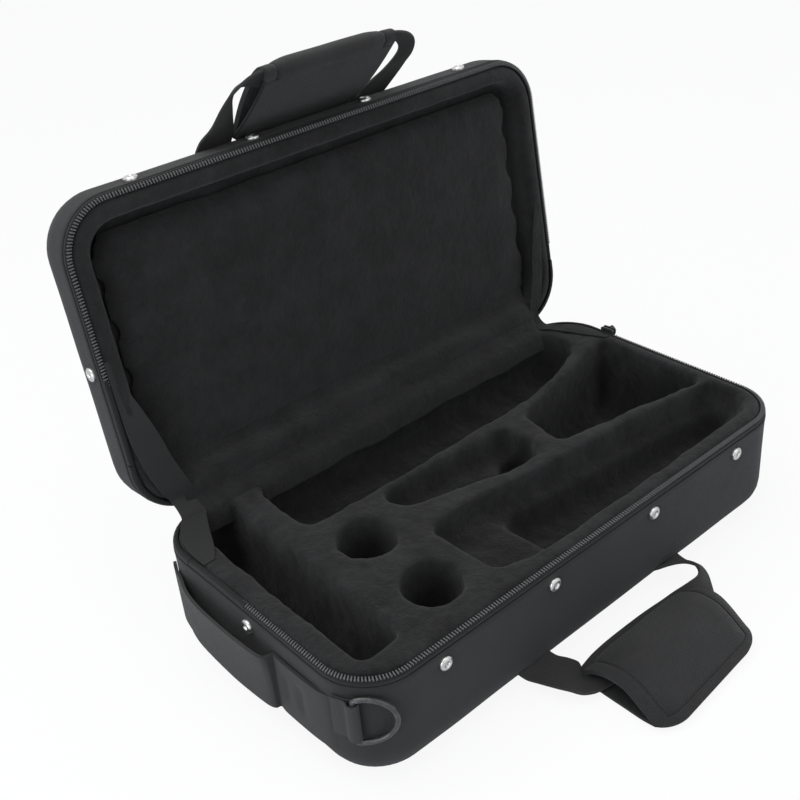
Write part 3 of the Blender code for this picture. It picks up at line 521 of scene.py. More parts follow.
def onRim(run, place, inset, drop):
    base, out = rimAt(run)
    return place @ (base - out * inset + Vector((0, 0, drop)))


def bandAround(name, section, start, finish, place, thickness):
    # a fabric band whose section, given as (inset, drop) pairs, follows the rim
    line = smoothLine(section, 3)

    def spot(u, v):
        return onRim(start + (finish - start) * v, place, *alongLine(line, u))
    return bent(name, len(line) - 1, int((finish - start) / bandStep), spot,
                (sum(runs(line)), finish - start), thickness)


# outer covers: rounded outlines are stacked and bridged, then the long edges get cuts
cover = {
    "cornerSegments": 12,
    "filletSegments": 7,
    "rowHeight": 0.0035,
    "fewestRows": 3,
    "wall": 0.0012,
    "edgeDrop": 0.0058,
    "lip": ((0, 0.0006), (0.00025, 0.0002), (0.0009, 0)),    # inset, depth under the edge
    "cuts": ((0.25, 0.35, 84), (0.11, 0.20, 36)),            # lengths of edges, cuts in them
    "flatFrom": 0.72,
    "pucker": 0.00045,       # how far the cloth dips round a rivet
    "puckerReach": 0.0075,
    "slack": 0.00035,        # soft unevenness of the cloth over the board
    "slackScale": 22,
    "slackBias": 0.4,
    "floorEase": 0.004,      # floor and rim keep their place
    "rimEase": 0.006,
    "rivetDrop": 0.0140,
    "rivetX": (-0.348, -0.120, 0.120, 0.348),
}
# where each rivet is, counted down from the rim, and the way it faces
rivetSpots = [(Vector((share * case["length"], -halfY, cover["rivetDrop"])), Vector((0, -1, 0)))
              for share in cover["rivetX"]]
rivetSpots += [(Vector((side * halfX, 0, cover["rivetDrop"])), Vector((side, 0, 0))) for side in (-1, 1)]


def addOutline(inset, z):
    bpy.ops.mesh.select_all(action="DESELECT")
    bpy.ops.mesh.primitive_plane_add(size=1, location=(0, 0, z))
    bpy.ops.transform.resize(value=(case["length"] - 2 * inset, case["depth"] - 2 * inset, 1),
                             center_override=(0, 0, z))
    bpy.ops.mesh.bevel(offset=cornerR - inset, segments=cover["cornerSegments"], affect="VERTICES")


def selectEdges(piece, test):
    bpy.ops.mesh.select_mode(type="EDGE")
    bpy.ops.mesh.select_all(action="DESELECT")
    bm = bmesh.from_edit_mesh(piece.data)
    for edge in [edge for edge in bm.edges if test(edge)]:
        edge.select_set(True)
    bmesh.update_edit_mesh(piece.data)


def coverRows(top):
    fillet = case["fillet"]
    rows = []
    for i in range(cover["filletSegments"] + 1):
        angle = i * math.pi / 2 / cover["filletSegments"]
        rows.append((fillet * (1 - math.sin(angle)), fillet * (1 - math.cos(angle))))
    count = max(int((top - fillet) / cover["rowHeight"]), cover["fewestRows"])
    straight = top - cover["lip"][0][1] - fillet
    rows += [(0, fillet + straight * (i + 1) / count) for i in range(count)]
    return rows + [(inset, top - under) for inset, under in cover["lip"][1:]]


def makeCover(name, height, place, seed):
    top = height - cover["edgeDrop"]
    deselectAll()
    bpy.ops.mesh.primitive_plane_add(size=0.01)
    piece = current(name)
    mode("EDIT")
    bpy.ops.mesh.delete(type="VERT")
    for i, (inset, z) in enumerate(coverRows(top)):
        addOutline(inset, z)
        if i:
            bpy.ops.mesh.delete(type="ONLY_FACE")
            selectEdges(piece, lambda edge: len(edge.link_faces) < 2)
            bpy.ops.mesh.bridge_edge_loops()
    for shortest, longest, cuts in cover["cuts"]:
        selectEdges(piece, lambda edge: shortest < edge.calc_length() < longest)
        bpy.ops.mesh.subdivide(number_cuts=cuts, quadcorner="INNERVERT")
    bpy.ops.mesh.select_all(action="SELECT")
    bpy.ops.mesh.normals_make_consistent(inside=False)
    mode("OBJECT")

    def settle(spot, normal):
        fromRim = Vector((spot.x, spot.y, height - spot.z))
        dip = 0
        for head, out in rivetSpots:
            dip += math.exp(-((fromRim - head).length / cover["puckerReach"]) ** 2) * cover["pucker"]
        sway = noise.noise(spot * cover["slackScale"] + Vector((seed, 0, 0))) * cover["slack"]
        free = min(spot.z / cover["floorEase"], 1) * min((top - spot.z) / cover["rimEase"], 1)
        return -normal * (dip + (sway + cover["slack"] * cover["slackBias"]) * max(free, 0))
    nudge(piece, settle)
    uvs = piece.data.uv_layers[0]
    uvs.name = "UVMap"
    for face in piece.data.polygons:
        flat = abs(face.normal.z) > cover["flatFrom"]
        side = abs(face.normal.y) > abs(face.normal.x)
        for loop in face.loop_indices:
            spot = piece.data.vertices[piece.data.loops[loop].vertex_index].co
            uvs.data[loop].uv = (spot.x, spot.y) if flat else (spot.x if side else spot.y, spot.z)
    applied(piece, "SOLIDIFY", thickness=cover["wall"], offset=-1)
    return smoothed(taken(piece, place))


for half, height, place, seed in (("base", baseTop, inPlace, 3.0),
                                  ("lid", case["lidHeight"], lidFromTop, 11.0)):
    shell = makeCover(half + "_cover_cloth", height, place, seed)
    dressed(shell, "oxford", half, half + "_cover")
    print(half, "cover made:", len(shell.data.polygons), "faces")


# plush: the pocketed insert, the lid's padded frame and its cushion, softened from their solids
plush = {
    "insertVoxel": 0.0021,
    "frameVoxel": 0.0022,
    "softening": 3,
    "deepSoftening": 12,     # more of it down in the pockets
    "deepFrom": 0.012,
    "frameSoftening": 10,
    "lipWave": 0.0012,
    "lipWaveScale": 52,
    "tuft": 0.0006,
    "tuftScale": 150,
    "tuftFloor": 0.35,       # share of the tufts left where the waves are held back
    "rimHold": 0.0075,       # held where the board and the zip are near
    "rimEase": 0.004,
    "frameShare": 0.08,
    "cushionShare": 0.10,
}
cushion = {
    "voxel": 0.0042,
    "cap": 0.0030,           # the most that the filling moves any point
    "frames": 16,
    "calming": 44,           # smoothing passes over the sewn edge after it is filled
    "cloth": {"quality": 5, "mass": 0.15, "tension_stiffness": 18, "compression_stiffness": 18,
              "bending_stiffness": 0.6, "use_pressure": True, "uniform_pressure_force": 3.0},
    "creaseX": 0.095,        # a long shallow crease down the left third
    "creaseY": 0.02,
    "creaseSlant": 0.35,
    "creaseWidth": 0.012,
    "creaseDepth": 0.0016,
    "swell": 0.0011,
    "swellScale": 16,
    "faceDepth": 0.018,      # the side that shows is nearer the rim than this
    "faceEase": 0.003,
    "edgeHold": 0.0155,
    "edgeEase": 0.006,
}


def calmed(piece, passes, **settings):
    return applied(piece, "SMOOTH", factor=0.5, iterations=passes, **settings)


def softened(name, node, voxel):
    piece = outward(linked(name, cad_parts[node].data.copy()))
    applied(piece, "REMESH", mode="VOXEL", voxel_size=voxel)
    return calmed(piece, plush["softening"])


def deepened(piece):
    # the pockets' floors and steps are softer than their lips
    group = piece.vertex_groups.new(name="deep")
    limit = baseTop - plush["deepFrom"]
    group.add([i for i, z in enumerate(points(piece)[:, 2]) if z < limit], 1.0, "REPLACE")
    calmed(piece, plush["deepSoftening"], vertex_group="deep")
    piece.vertex_groups.clear()
    return piece


def inside(spot, hold, ease):
    # 0 near the outline, 1 well inside it
    return unit((min(halfX - abs(spot.x), halfY - abs(spot.y)) - hold) / ease)


def addPile(piece, seed, share, back=None):
    # back takes a point to where the outline is upright; without it nothing is held
    def move(spot, normal):
        free = inside(back @ spot, plush["rimHold"], plush["rimEase"]) if back else 1
        wave = noise.noise(spot * plush["lipWaveScale"] + Vector((seed, 0, 0))) * plush["lipWave"]
        fine = noise.noise(spot * plush["tuftScale"] + Vector((0, seed, 0))) * plush["tuft"]
        rest = plush["tuftFloor"]
        return normal * (wave * share + fine * (rest + (1 - rest) * share)) * free
    nudge(piece, move)
    return smoothed(piece, 180)


def filled(piece):
    # a closed pad blown up a little by the cloth solver
    applied(piece, "REMESH", mode="VOXEL", voxel_size=cushion["voxel"])
    rest = points(piece)
    only(piece)
    cloth = piece.modifiers.new("Cloth", "CLOTH")
    for key, value in cushion["cloth"].items():
        setattr(cloth.settings, key, value)
    cloth.settings.effector_weights.gravity = 0
    cloth.collision_settings.use_collision = False
    cloth.point_cache.frame_start = 1
    cloth.point_cache.frame_end = cushion["frames"]
    for step in range(1, cushion["frames"] + 1):
        bpy.context.scene.frame_set(step)
    bpy.ops.object.modifier_apply(modifier="Cloth")
    bpy.context.scene.frame_set(1)
    moved = points(piece) - rest
    far = np.linalg.norm(moved, axis=1, keepdims=True)
    moved *= np.minimum(1, cushion["cap"] / np.maximum(far, 1e-9))
    setPoints(piece, rest + moved)
    return applied(piece, "SUBSURF", levels=1, render_levels=1)


def drape(spot, normal):
    local = lidBack @ spot
    across = local.x + cushion["creaseX"] + (local.y + cushion["creaseY"]) * cushion["creaseSlant"]
    crease = math.exp(-(across / cushion["creaseWidth"]) ** 2) * cushion["creaseDepth"]
    swell = noise.noise(local * cushion["swellScale"] + Vector((4, 2, 0))) * cushion["swell"]
    near = unit((cushion["faceDepth"] - local.z) / cushion["faceEase"])
    return normal * (swell - crease) * inside(local, cushion["edgeHold"], cushion["edgeEase"]) * near


insert = deepened(softened("insert_plush", "base_insert", plush["insertVoxel"]))
addPile(insert, 5.0, 1.0, inPlace)
dressed(insert, "plush", "base", "base_insert")
lidFrame = softened("lid_frame_plush", "lid_wall_padding", plush["frameVoxel"])
calmed(lidFrame, plush["frameSoftening"])
addPile(lidFrame, 9.0, plush["frameShare"], lidBack)
dressed(lidFrame, "lining", "lid", "lid_wall_padding")
pad = filled(outward(linked("lid_cushion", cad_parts["lid_pad"].data.copy())))
calmed(pad, cushion["calming"])
nudge(pad, drape)
addPile(pad, 13.0, plush["cushionShare"])
dressed(pad, "lining", "lid", "lid_pad")
print("plush made:", [len(p.data.polygons) for p in (insert, lidFrame, pad)])


# zip: tape, coil teeth and stitches, rear bands and the guard over the coil's rear end
zipper = {
    "tapeSection": ((0.0017, -0.0062), (0.0009, -0.0050), (0.0006, -0.0038), (0.0011, -0.0029),
                    (0.0023, -0.0027), (0.0034, -0.0037)),
    "guardSection": ((0.0008, -0.0032), (0.0010, -0.0018), (0.0022, -0.0012), (0.0034, -0.0015)),
    "bandSection": ((0.0017, -0.0061), (0.0008, -0.0050), (0.0006, -0.0036), (0.0011, -0.0022),
                    (0.0024, -0.0016), (0.0034, -0.0018)),
    "tapeThickness": 0.0005,
    "bandThickness": 0.0006,
    "start": 0.0069,             # short of the rear corner, on either end wall
    "coilBack": 0.006,           # the coil's rear end on the left is this far behind the middle
    "guardOverlap": 0.004,
    "seamGap": 0.0004,
    "sliderStretch": 0.0125,     # the lid's teeth end before the slider, which holds them when shut
    "toothPitch": 0.00190,
    "toothLength": 0.0029,
    "toothWidth": 0.00105,
    "toothHeight": 0.0011,
    "toothInset": 0.0023,
    "toothDrop": -0.0018,
    "toothRound": 0.00030,
    "toothWaist": 0.28,
    "toothLean": 0.16,
    "toothTilt": 0.22,
    "stitchLength": 0.0026,
    "stitchThick": 0.00042,
    "stitchEnd": 0.2,            # share of its length that dives into the cloth at either end
    "stitchTaper": 0.45,
    "stitchPitch": 0.0036,
    "seamInset": 0.0019,
    "seamDrop": -0.0019,
    "seamSteps": 259,
}
zipStart = zipper["start"]
zipFinish = 2 * wallRun + 2 * arcRun + frontRun - zipStart
teethStart = wallRun / 2 - zipper["coilBack"]
aligned = 0.9      # cosine from which two directions count as the same


def stitchSeed():
    length = zipper["stitchLength"]
    thick = zipper["stitchThick"]
    dive = zipper["stitchEnd"]
    deselectAll()
    bpy.ops.mesh.primitive_cylinder_add(vertices=8, radius=thick / 2, depth=length * (1 - 2 * dive),
                                        rotation=(0, math.pi / 2, 0))
    piece = settled(current("stitch_seed"))
    mode("EDIT")
    for way in (-1, 1):
        bm = bmesh.from_edit_mesh(piece.data)
        for face in bm.faces:
            face.select = face.normal.x * way > aligned
        bmesh.update_edit_mesh(piece.data)
        bpy.ops.mesh.extrude_region_move(
            TRANSFORM_OT_translate={"value": (way * length * dive, 0, -thick * 0.5)})
        bpy.ops.transform.resize(value=(1, zipper["stitchTaper"], zipper["stitchTaper"]),
                                 center_override=(way * length * 0.5, 0, -thick * 0.5))
        bpy.ops.mesh.select_all(action="DESELECT")
    mode("OBJECT")
    return piece


def stitched(name, seed, line, up):
    # stitches along a line of points, all on a surface that faces up
    spots = []
    carry = 0
    for a, b in zip(line, line[1:]):
        length = (b - a).length
        while carry < length and length > 0:
            spots.append(standing(a + (b - a) * (carry / length), b - a, up))
            carry += zipper["stitchPitch"]
        carry -= length
    return scattered(name, seed, spots)


def toothSeed():
    # one turn of the coil: a bar with a waist
    size = (zipper["toothLength"], zipper["toothWidth"], zipper["toothHeight"])
    deselectAll()
    bpy.ops.mesh.primitive_cube_add(size=1, scale=size)
    piece = settled(current("tooth_seed"))
    mode("EDIT")
    bpy.ops.mesh.select_all(action="SELECT")
    bpy.ops.mesh.bevel(offset=zipper["toothRound"], segments=2)
    mode("OBJECT")

    def waist(spot, normal):
        inner = unit(0.5 - spot.x / zipper["toothLength"])
        return Vector((0, -spot.y * zipper["toothWaist"] * math.sin(math.pi * inner), 0))
    return nudge(piece, waist)


def teethAlong(name, seed, place, finish, flip):
    spots = []
    count = int((finish - teethStart) / zipper["toothPitch"])
    for k in range(count):
        base, out = rimAt(teethStart + (k + 0.5) * (finish - teethStart) / count)
        lean = out + Vector((0, 0, 1)).cross(out) * (zipper["toothLean"] * flip)
        middle = base - out * zipper["toothInset"] + Vector((0, 0, zipper["toothDrop"]))
        spots.append(place @ standing(middle, lean - Vector((0, 0, zipper["toothTilt"])), (0, 0, 1)))
    teeth = scattered(name, seed, spots)
    if place.to_3x3().determinant() < 0:
        teeth.data.flip_normals()
    return teeth


thread = stitchSeed()
seed = toothSeed()
for half, place, flip in (("base", rimUp, 1), ("lid", lidUp, -1)):
    tape = bandAround(half + "_tape", zipper["tapeSection"], zipStart, zipFinish, place,
                      zipper["tapeThickness"])
    dressed(tape, "tape", half, half + "_zip_tape")
    last = zipFinish - (zipper["sliderStretch"] if half == "lid" else 0)
    teeth = teethAlong(half + "_coil_teeth", seed, place, last, flip)
    dressed(teeth, "coil", half, half + "_zip_coil")
    seam = [onRim(teethStart + (last - teethStart) * k / zipper["seamSteps"], place,
                  zipper["seamInset"], zipper["seamDrop"]) for k in range(zipper["seamSteps"] + 1)]
    stitches = stitched(half + "_zip_stitches", thread, seam, place.to_3x3() @ Vector((0, 0, 1)))
    dressed(stitches, "thread", half)
    guard = bandAround(half + "_coil_guard", zipper["guardSection"], zipStart + zipper["seamGap"],
                       teethStart + zipper["guardOverlap"], place, zipper["tapeThickness"])
    dressed(guard, "tape", half)
    band = bandAround(half + "_rear_band", zipper["bandSection"], zipFinish + zipper["seamGap"],
                      girth + zipStart - zipper["seamGap"], place, zipper["bandThickness"])
    dressed(band, "tape", half, half + "_hinge_band")
bpy.data.objects.remove(seed)
bpy.data.objects.remove(thread)
print("zip made")


# rivets: a domed head with a turned-in eye
rivet = {
    "radius": 0.0043,
    "height": 0.0021,
    "eye": 0.0016,
    "eyeDepth": 0.0016,
    "rim": 0.0005,           # height of the head's upright edge
    "crown": 1.35,           # where the dome ends, in radii of the eye
    "domeSteps": 6,
    "segments": 32,
}


def rivetProfile():
    radius, eye, rim = rivet["radius"], rivet["eye"], rivet["rim"]
    crown = eye * rivet["crown"]
    top = gap + rivet["height"]
    profile = [(radius, gap), (radius * 0.985, gap + rim)]
    for i in range(1, rivet["domeSteps"]):
        angle = i * math.pi / 2 / rivet["domeSteps"]
        profile.append((crown + (radius - crown) * math.cos(angle),
                        gap + rim + (rivet["height"] - rim) * math.sin(angle)))
    return profile + [(eye * 1.25, top - 0.0001), (eye, top - 0.0005),
                      (eye * 0.86, top - rivet["eyeDepth"]), (eye * 0.4, top - rivet["eyeDepth"] - 0.0001)]


def rivetSeed():
    deselectAll()
    bpy.ops.mesh.primitive_circle_add(vertices=rivet["segments"], radius=rivet["radius"], fill_type="NGON")
    piece = current("rivet_seed")
    mode("EDIT")
    bpy.ops.mesh.select_all(action="SELECT")
    radius, height = rivet["radius"], 0.0
    for newRadius, newHeight in rivetProfile():
        share = newRadius / radius
        bpy.ops.mesh.extrude_region_move(TRANSFORM_OT_translate={"value": (0, 0, newHeight - height)})
        bpy.ops.transform.resize(value=(share, share, 1), center_override=(0, 0, newHeight))
        radius, height = newRadius, newHeight
    mode("OBJECT")
    return smoothed(outward(piece), 50)


def placeRivets():
    seed = rivetSeed()
    names = [f"rivet_front_{i + 1}" for i in range(4)] + ["rivet_left", "rivet_right"]
    for half, place in (("base", basePlace), ("lid", lidPlace)):
        for name, (spot, out) in zip(names, rivetSpots):
            turn = (out.to_track_quat("Z", "Y").to_matrix().to_4x4()
                    @ Matrix.Rotation(random.random() * 3, 4, "Z"))
            turn.translation = spot - out * cover["pucker"]
            piece = taken(linked(half + "_" + name + "_head", seed.data.copy()), place @ turn)
            dressed(piece, "nickel", half, half + "_" + name)
    bpy.data.objects.remove(seed)


random.seed(4)
placeRivets()
print("rivets made")


# the carrying strap on the left end
sideStrap = {
    "width": 0.038,
    "low": 0.020,
    "thickness": 0.0018,
    "cut": 0.165,
    "lift": 0.0006,
    "cup": 0.0012,           # hollow across its width, where it stands off the wall
    "cupFrom": 0.002,
    "cupEase": 0.004,
    "dents": (-0.0330, -0.0455),     # two soft dents where the front end is sewn down
    "dentsEnd": -0.026,
    "dentWidth": 0.0036,
    "dentMiddle": 0.52,
    "dentTall": 0.26,
    "dentDepth": 0.0016,
    "edge": 0.0005,
    # y, distance from the wall at the top edge, and at the bottom edge
    "stations": ((-0.0720, -0.0034, -0.0034), (-0.0685, -0.0014, -0.0014), (-0.062, 0.0002, 0.0002),
                 (-0.054, 0.0009, 0.0009), (-0.042, 0.0012, 0.0012), (-0.030, 0.0012, 0.0012),
                 (-0.0246, 0.0006, 0.0006), (-0.0232, 0.0034, 0.0022), (-0.0226, 0.0060, 0.0038),
                 (-0.0180, 0.0078, 0.0052), (-0.004, 0.0088, 0.0062), (0.012, 0.0092, 0.0066),
                 (0.032, 0.0088, 0.0060), (0.047, 0.0072, 0.0050), (0.0565, 0.0048, 0.0034),
                 (0.0625, 0.0024, 0.0018), (0.0680, 0.0010, 0.0010), (0.0740, 0.0007, 0.0007),
                 (0.0790, 0.0004, 0.0004)),
}


def makeSideStrap():
    line = smoothLine(sideStrap["stations"], 8)

    def spot(u, v):
        y, top, bottom = alongLine(line, v)
        out = bottom + (top - bottom) * u
        hollow = unit((out - sideStrap["cupFrom"]) / sideStrap["cupEase"])
        cup = -sideStrap["cup"] * math.sin(math.pi * u) * hollow
        dents = 0
        if y < sideStrap["dentsEnd"]:
            for middle in sideStrap["dents"]:
                dents += math.exp(-((y - middle) / sideStrap["dentWidth"]) ** 2
                                  - ((u - sideStrap["dentMiddle"]) / sideStrap["dentTall"]) ** 4)
        beyond = max(abs(y) - arcY, 0)
        wall = Vector((-arcX - math.sqrt(max(cornerR ** 2 - beyond ** 2, 0)), y, 0))
        normal = Vector((-1, 0, 0))
        if beyond:
            normal = (wall - Vector((-arcX, math.copysign(arcY, y), 0))).normalized()
        wall.z = sideStrap["low"] + sideStrap["width"] * u
        return wall + normal * (out + cup + sideStrap["lift"] - sideStrap["dentDepth"] * dents)
    piece = bent("side_strap_webbing", 22, len(line) - 1, spot, (sideStrap["width"], sideStrap["cut"]),
                 sideStrap["thickness"])
    return softEdges(piece, sideStrap["edge"])


dressed(makeSideStrap(), "webbing", "base", "side_strap")


# handles, each in its own frame: x along the case, y inwards to it, z off its wall
handle = {
    "baseRise": 0.0115,
    "lidDrop": 0.0085,
    "lean": math.radians(52.5),
    "stand": 0.0013,
    "web": 0.0250,
    "thickness": 0.0018,
    "edge": 0.0005,
    "ripple": 0.0006,
    "ahead": 0.01,
}


def handlePlace(drop, height):
    below = max(case["fillet"] - drop, 0)
    inset = case["fillet"] - math.sqrt(case["fillet"] ** 2 - below ** 2)
    return Matrix.Translation((0, inset - halfY - handle["stand"], height))


baseHandle = handlePlace(handle["baseRise"], handle["baseRise"])
lidHandle = (lidPlace @ handlePlace(handle["lidDrop"], case["lidHeight"] - handle["lidDrop"])
             @ Matrix.Rotation(handle["lean"], 4, "X"))

grips = {
    "base": {
        "sway": 0.005, "slant": 0.085, "fold": 0.0195, "lip": 0.0785, "low": 0.0004 - handle["baseRise"],
        "height": 0.0225, "length": 0.098, "endTaper": 0.25, "planRadius": 0.020,
        "section": ((0.10, 0.055), (0.03, 0.10), (0.00, 0.30), (0.04, 0.58), (0.16, 0.83), (0.29, 0.965),
                    (0.42, 1.0), (0.55, 0.93), (0.70, 0.70), (0.83, 0.44), (0.93, 0.24), (1.00, 0.12)),
        "underside": ((0.10, 0.055), (0.30, 0.03), (0.55, 0.03), (0.80, 0.03), (1.00, 0.12)),
    },
    "lid": {
        "sway": 0.0, "slant": 0.0, "fold": 0.0700, "lip": 0.0000, "low": -0.0040,
        "height": 0.0160, "length": 0.098, "endTaper": 0.10, "planRadius": 0.007,
        "section": ((0.10, 0.06), (0.03, 0.12), (0.00, 0.34), (0.03, 0.60), (0.10, 0.80), (0.22, 0.90),
                    (0.38, 0.90), (0.55, 0.82), (0.70, 0.68), (0.84, 0.50), (0.94, 0.36), (1.00, 0.26)),
        "underside": ((0.10, 0.06), (0.30, 0.03), (0.55, 0.05), (0.80, 0.14), (1.00, 0.26)),
    },
}
wrap = {
    "thickness": 0.0034,
    "border": 0.0078,        # width of the bound edge
    "channel": 0.0017,       # depth of the stitched line beside it
    "channelWidth": 0.0011,
    "puff": 0.0012,
    "sunk": 0.6,             # share of the puff that the border lies lower
    "fullFrom": 0.012,
    "crumple": 0.0008,
    "crumpleAcross": 18,
    "crumpleAlong": 3,
    "lipRun": 1.25,
    "ahead": 0.02,
    "edge": 0.0011,
}


def gripSpot(grip, x, out, up):
    half = grip["length"] / 2
    reach = grip["lip"] - grip["fold"]
    beyond = max(abs(x) - (half - grip["planRadius"]), 0) / grip["planRadius"]
    lost = grip["planRadius"] * (1 - math.sqrt(max(1 - beyond ** 2, 0))) / abs(reach)
    tall = grip["height"] * (1 - grip["endTaper"] * (x / half) ** 4)
    deep = (1 - lost * 0.85) * (reach - grip["slant"] * x)
    return Vector((x + grip["sway"], -(grip["fold"] + out * deep), grip["low"] + up * tall))


def makeGrip(half, place):
    grip = grips[half]
    inset = wrap["thickness"] / 2
    halfLength = grip["length"] / 2 - inset
    reach = abs(grip["lip"] - grip["fold"])
    trimOut = inset / reach
    trimUp = inset / grip["height"]

    def sheet(section, lift):
        line = smoothLine(grip[section], 8)

        def spot(u, v):
            out, up = alongLine(line, v)
            x = (u * 2 - 1) * halfLength
            middle = gripSpot(grip, x, trimOut + out * (1 - 2 * trimOut), trimUp + up * (1 - 2 * trimUp))
            toEdge = min(halfLength - abs(x), (1 - v) * reach * wrap["lipRun"]) - wrap["border"]
            groove = math.exp(-(toEdge / wrap["channelWidth"]) ** 2) * wrap["channel"]
            full = unit(toEdge / wrap["fullFrom"])
            swell = math.sin(full * math.pi / 2) * wrap["puff"]
            fold = ripple(x * wrap["crumpleAcross"], v * wrap["crumpleAlong"], 5) * wrap["crumple"] * full
            ahead = (gripSpot(grip, x, *alongLine(line, v + wrap["ahead"]))
                     - gripSpot(grip, x, *alongLine(line, v - wrap["ahead"])))
            normal = Vector((1, 0, 0)).cross(ahead).normalized()
            if grip["lip"] > grip["fold"]:
                normal = -normal
            return middle + normal * lift * (swell - groove + fold - wrap["puff"] * wrap["sunk"])
        return spot
    top = bent(half + "_grip_top", 92, 96, sheet("section", 1), (grip["length"], reach * 1.5),
               wrap["thickness"] * 0.9)
    bottom = bent(half + "_grip_under", 48, 40, sheet("underside", 0), (grip["length"], reach),
                  wrap["thickness"] * 0.6)
    return [taken(softEdges(piece, wrap["edge"]), place) for piece in (top, bottom)]


webStations = {
    # x, y, z, the way its width runs, share of its width
    # in world metres for the base, in the handle's frame for the lid
    "base": ((-0.0590, -0.0925, 0.0125, 1, 0, 0, 1), (-0.0570, -0.0985, 0.0100, 1, 0, 0, 1),
             (-0.0535, -0.1045, 0.0092, 1, 0.05, 0, 1), (-0.0508, -0.1115, 0.0092, 0.97, 0.20, -0.05, 0.98),
             (-0.0490, -0.1165, 0.0078, 0.86, 0.45, -0.20, 0.92),
             (-0.0462, -0.1195, 0.0058, 0.66, 0.72, -0.15, 0.84),
             (-0.0400, -0.1210, 0.0058, 0.35, 0.93, 0, 0.84),
             (-0.0280, -0.1220, 0.0072, 0.08, 0.99, 0.04, 0.92),
             (-0.0100, -0.1225, 0.0080, 0, 1, 0, 1), (0.0150, -0.1230, 0.0082, 0, 1, 0, 1),
             (0.0380, -0.1250, 0.0094, -0.05, 0.99, 0.1, 0.94),
             (0.0520, -0.1262, 0.0118, -0.30, 0.80, 0.50, 0.78),
             (0.0635, -0.1205, 0.0138, -0.60, 0.35, 0.72, 0.42),
             (0.0690, -0.1120, 0.0138, -0.70, 0.15, 0.70, 0.40),
             (0.0680, -0.1040, 0.0128, -0.84, 0.25, 0.52, 0.58),
             (0.0630, -0.0980, 0.0115, -0.95, 0.10, 0.25, 0.86), (0.0590, -0.0925, 0.0125, -1, 0, 0, 1)),
    "lid": ((-0.0600, 0.0010, 0.0, 1, 0, 0, 1), (-0.0610, -0.0120, 0.0008, 0.98, 0.05, 0.10, 1),
            (-0.0612, -0.0260, 0.0024, 0.90, 0.10, 0.38, 0.86),
            (-0.0615, -0.0400, 0.0040, 0.80, 0.30, 0.50, 0.66),
            (-0.0585, -0.0520, 0.0046, 0.55, 0.70, 0.40, 0.62),
            (-0.0490, -0.0575, 0.0040, 0.20, 0.96, 0.15, 0.72),
            (-0.0250, -0.0545, 0.0020, 0, 1, 0, 1), (0.0, -0.0535, 0.0012, 0, 1, 0, 1),
            (0.0250, -0.0540, 0.0020, 0, 1, 0, 1), (0.0440, -0.0575, 0.0044, -0.10, 0.97, 0.15, 0.72),
            (0.0590, -0.0560, 0.0052, -0.45, 0.78, 0.35, 0.52),
            (0.0715, -0.0462, 0.0058, -0.80, 0.45, 0.35, 0.46),
            (0.0770, -0.0340, 0.0050, -0.88, 0.22, 0.35, 0.40),
            (0.0720, -0.0240, 0.0030, -0.88, 0.35, 0.25, 0.52),
            (0.0640, -0.0120, 0.0012, -0.97, 0.10, 0.10, 0.82), (0.0600, 0.0010, 0.0, -1, 0, 0, 1)),
}


def makeWeb(half, place):
    width = handle["web"]
    line = smoothLine(webStations[half], 8)

    def spot(u, v):
        row = alongLine(line, v)
        way = Vector(row[3:6]).normalized()
        wave = ripple(u * 2.2, v * 9, width * 40) * handle["ripple"]
        ahead = Vector(alongLine(line, v + handle["ahead"])[:3]
                       - alongLine(line, v - handle["ahead"])[:3]).normalized()
        return Vector(row[:3]) + way * ((u - 0.5) * 2 * width / 2 * row[6]) + way.cross(ahead) * wave
    piece = bent(half + "_handle_strap", 14, len(line) - 1, spot, (width, sum(runs(line, 3))),
                 handle["thickness"])
    return taken(softEdges(piece, handle["edge"]), place)


for half, place in (("base", baseHandle), ("lid", lidHandle)):
    top, bottom = makeGrip(half, place)
    dressed(top, "wrap", half + "_handle", half + "_handle_grip")
    dressed(bottom, "wrap", half + "_handle")
for half, place in (("base", inPlace), ("lid", lidHandle)):
    dressed(makeWeb(half, place), "webbing", half + "_handle", half + "_handle_webbing")
print("handles made")


# D rings and their tabs
ring = {
    "wire": 0.0016,
    "innerHeight": 0.0265,
    "depth": 0.0215,
    "height": 0.0490,
    "shoulder": 0.2,         # share of the depth that is straight
    "bends": ((0, 0.0019), (0.0007, 0.0006)),      # where the bar turns into the bow
    "bowSteps": 24,
    "corner": math.radians(215),
    "rest": math.radians(15),
    "tabHeight": 0.0250,
    "tabTail": 0.0120,
    "tabCut": 0.036,
    "tabThickness": 0.0011,
    "tabEdge": 0.0003,
    "tabSteps": 8,
}
barOut = gap + ring["tabThickness"] + gap + ring["wire"]      # from the wall to the ring's bar


def aroundCorner(along, out):
    angle = ring["corner"] - along / cornerR
    return Vector(((cornerR + out) * math.cos(angle) - arcX, (cornerR + out) * math.sin(angle) - arcY, 0))


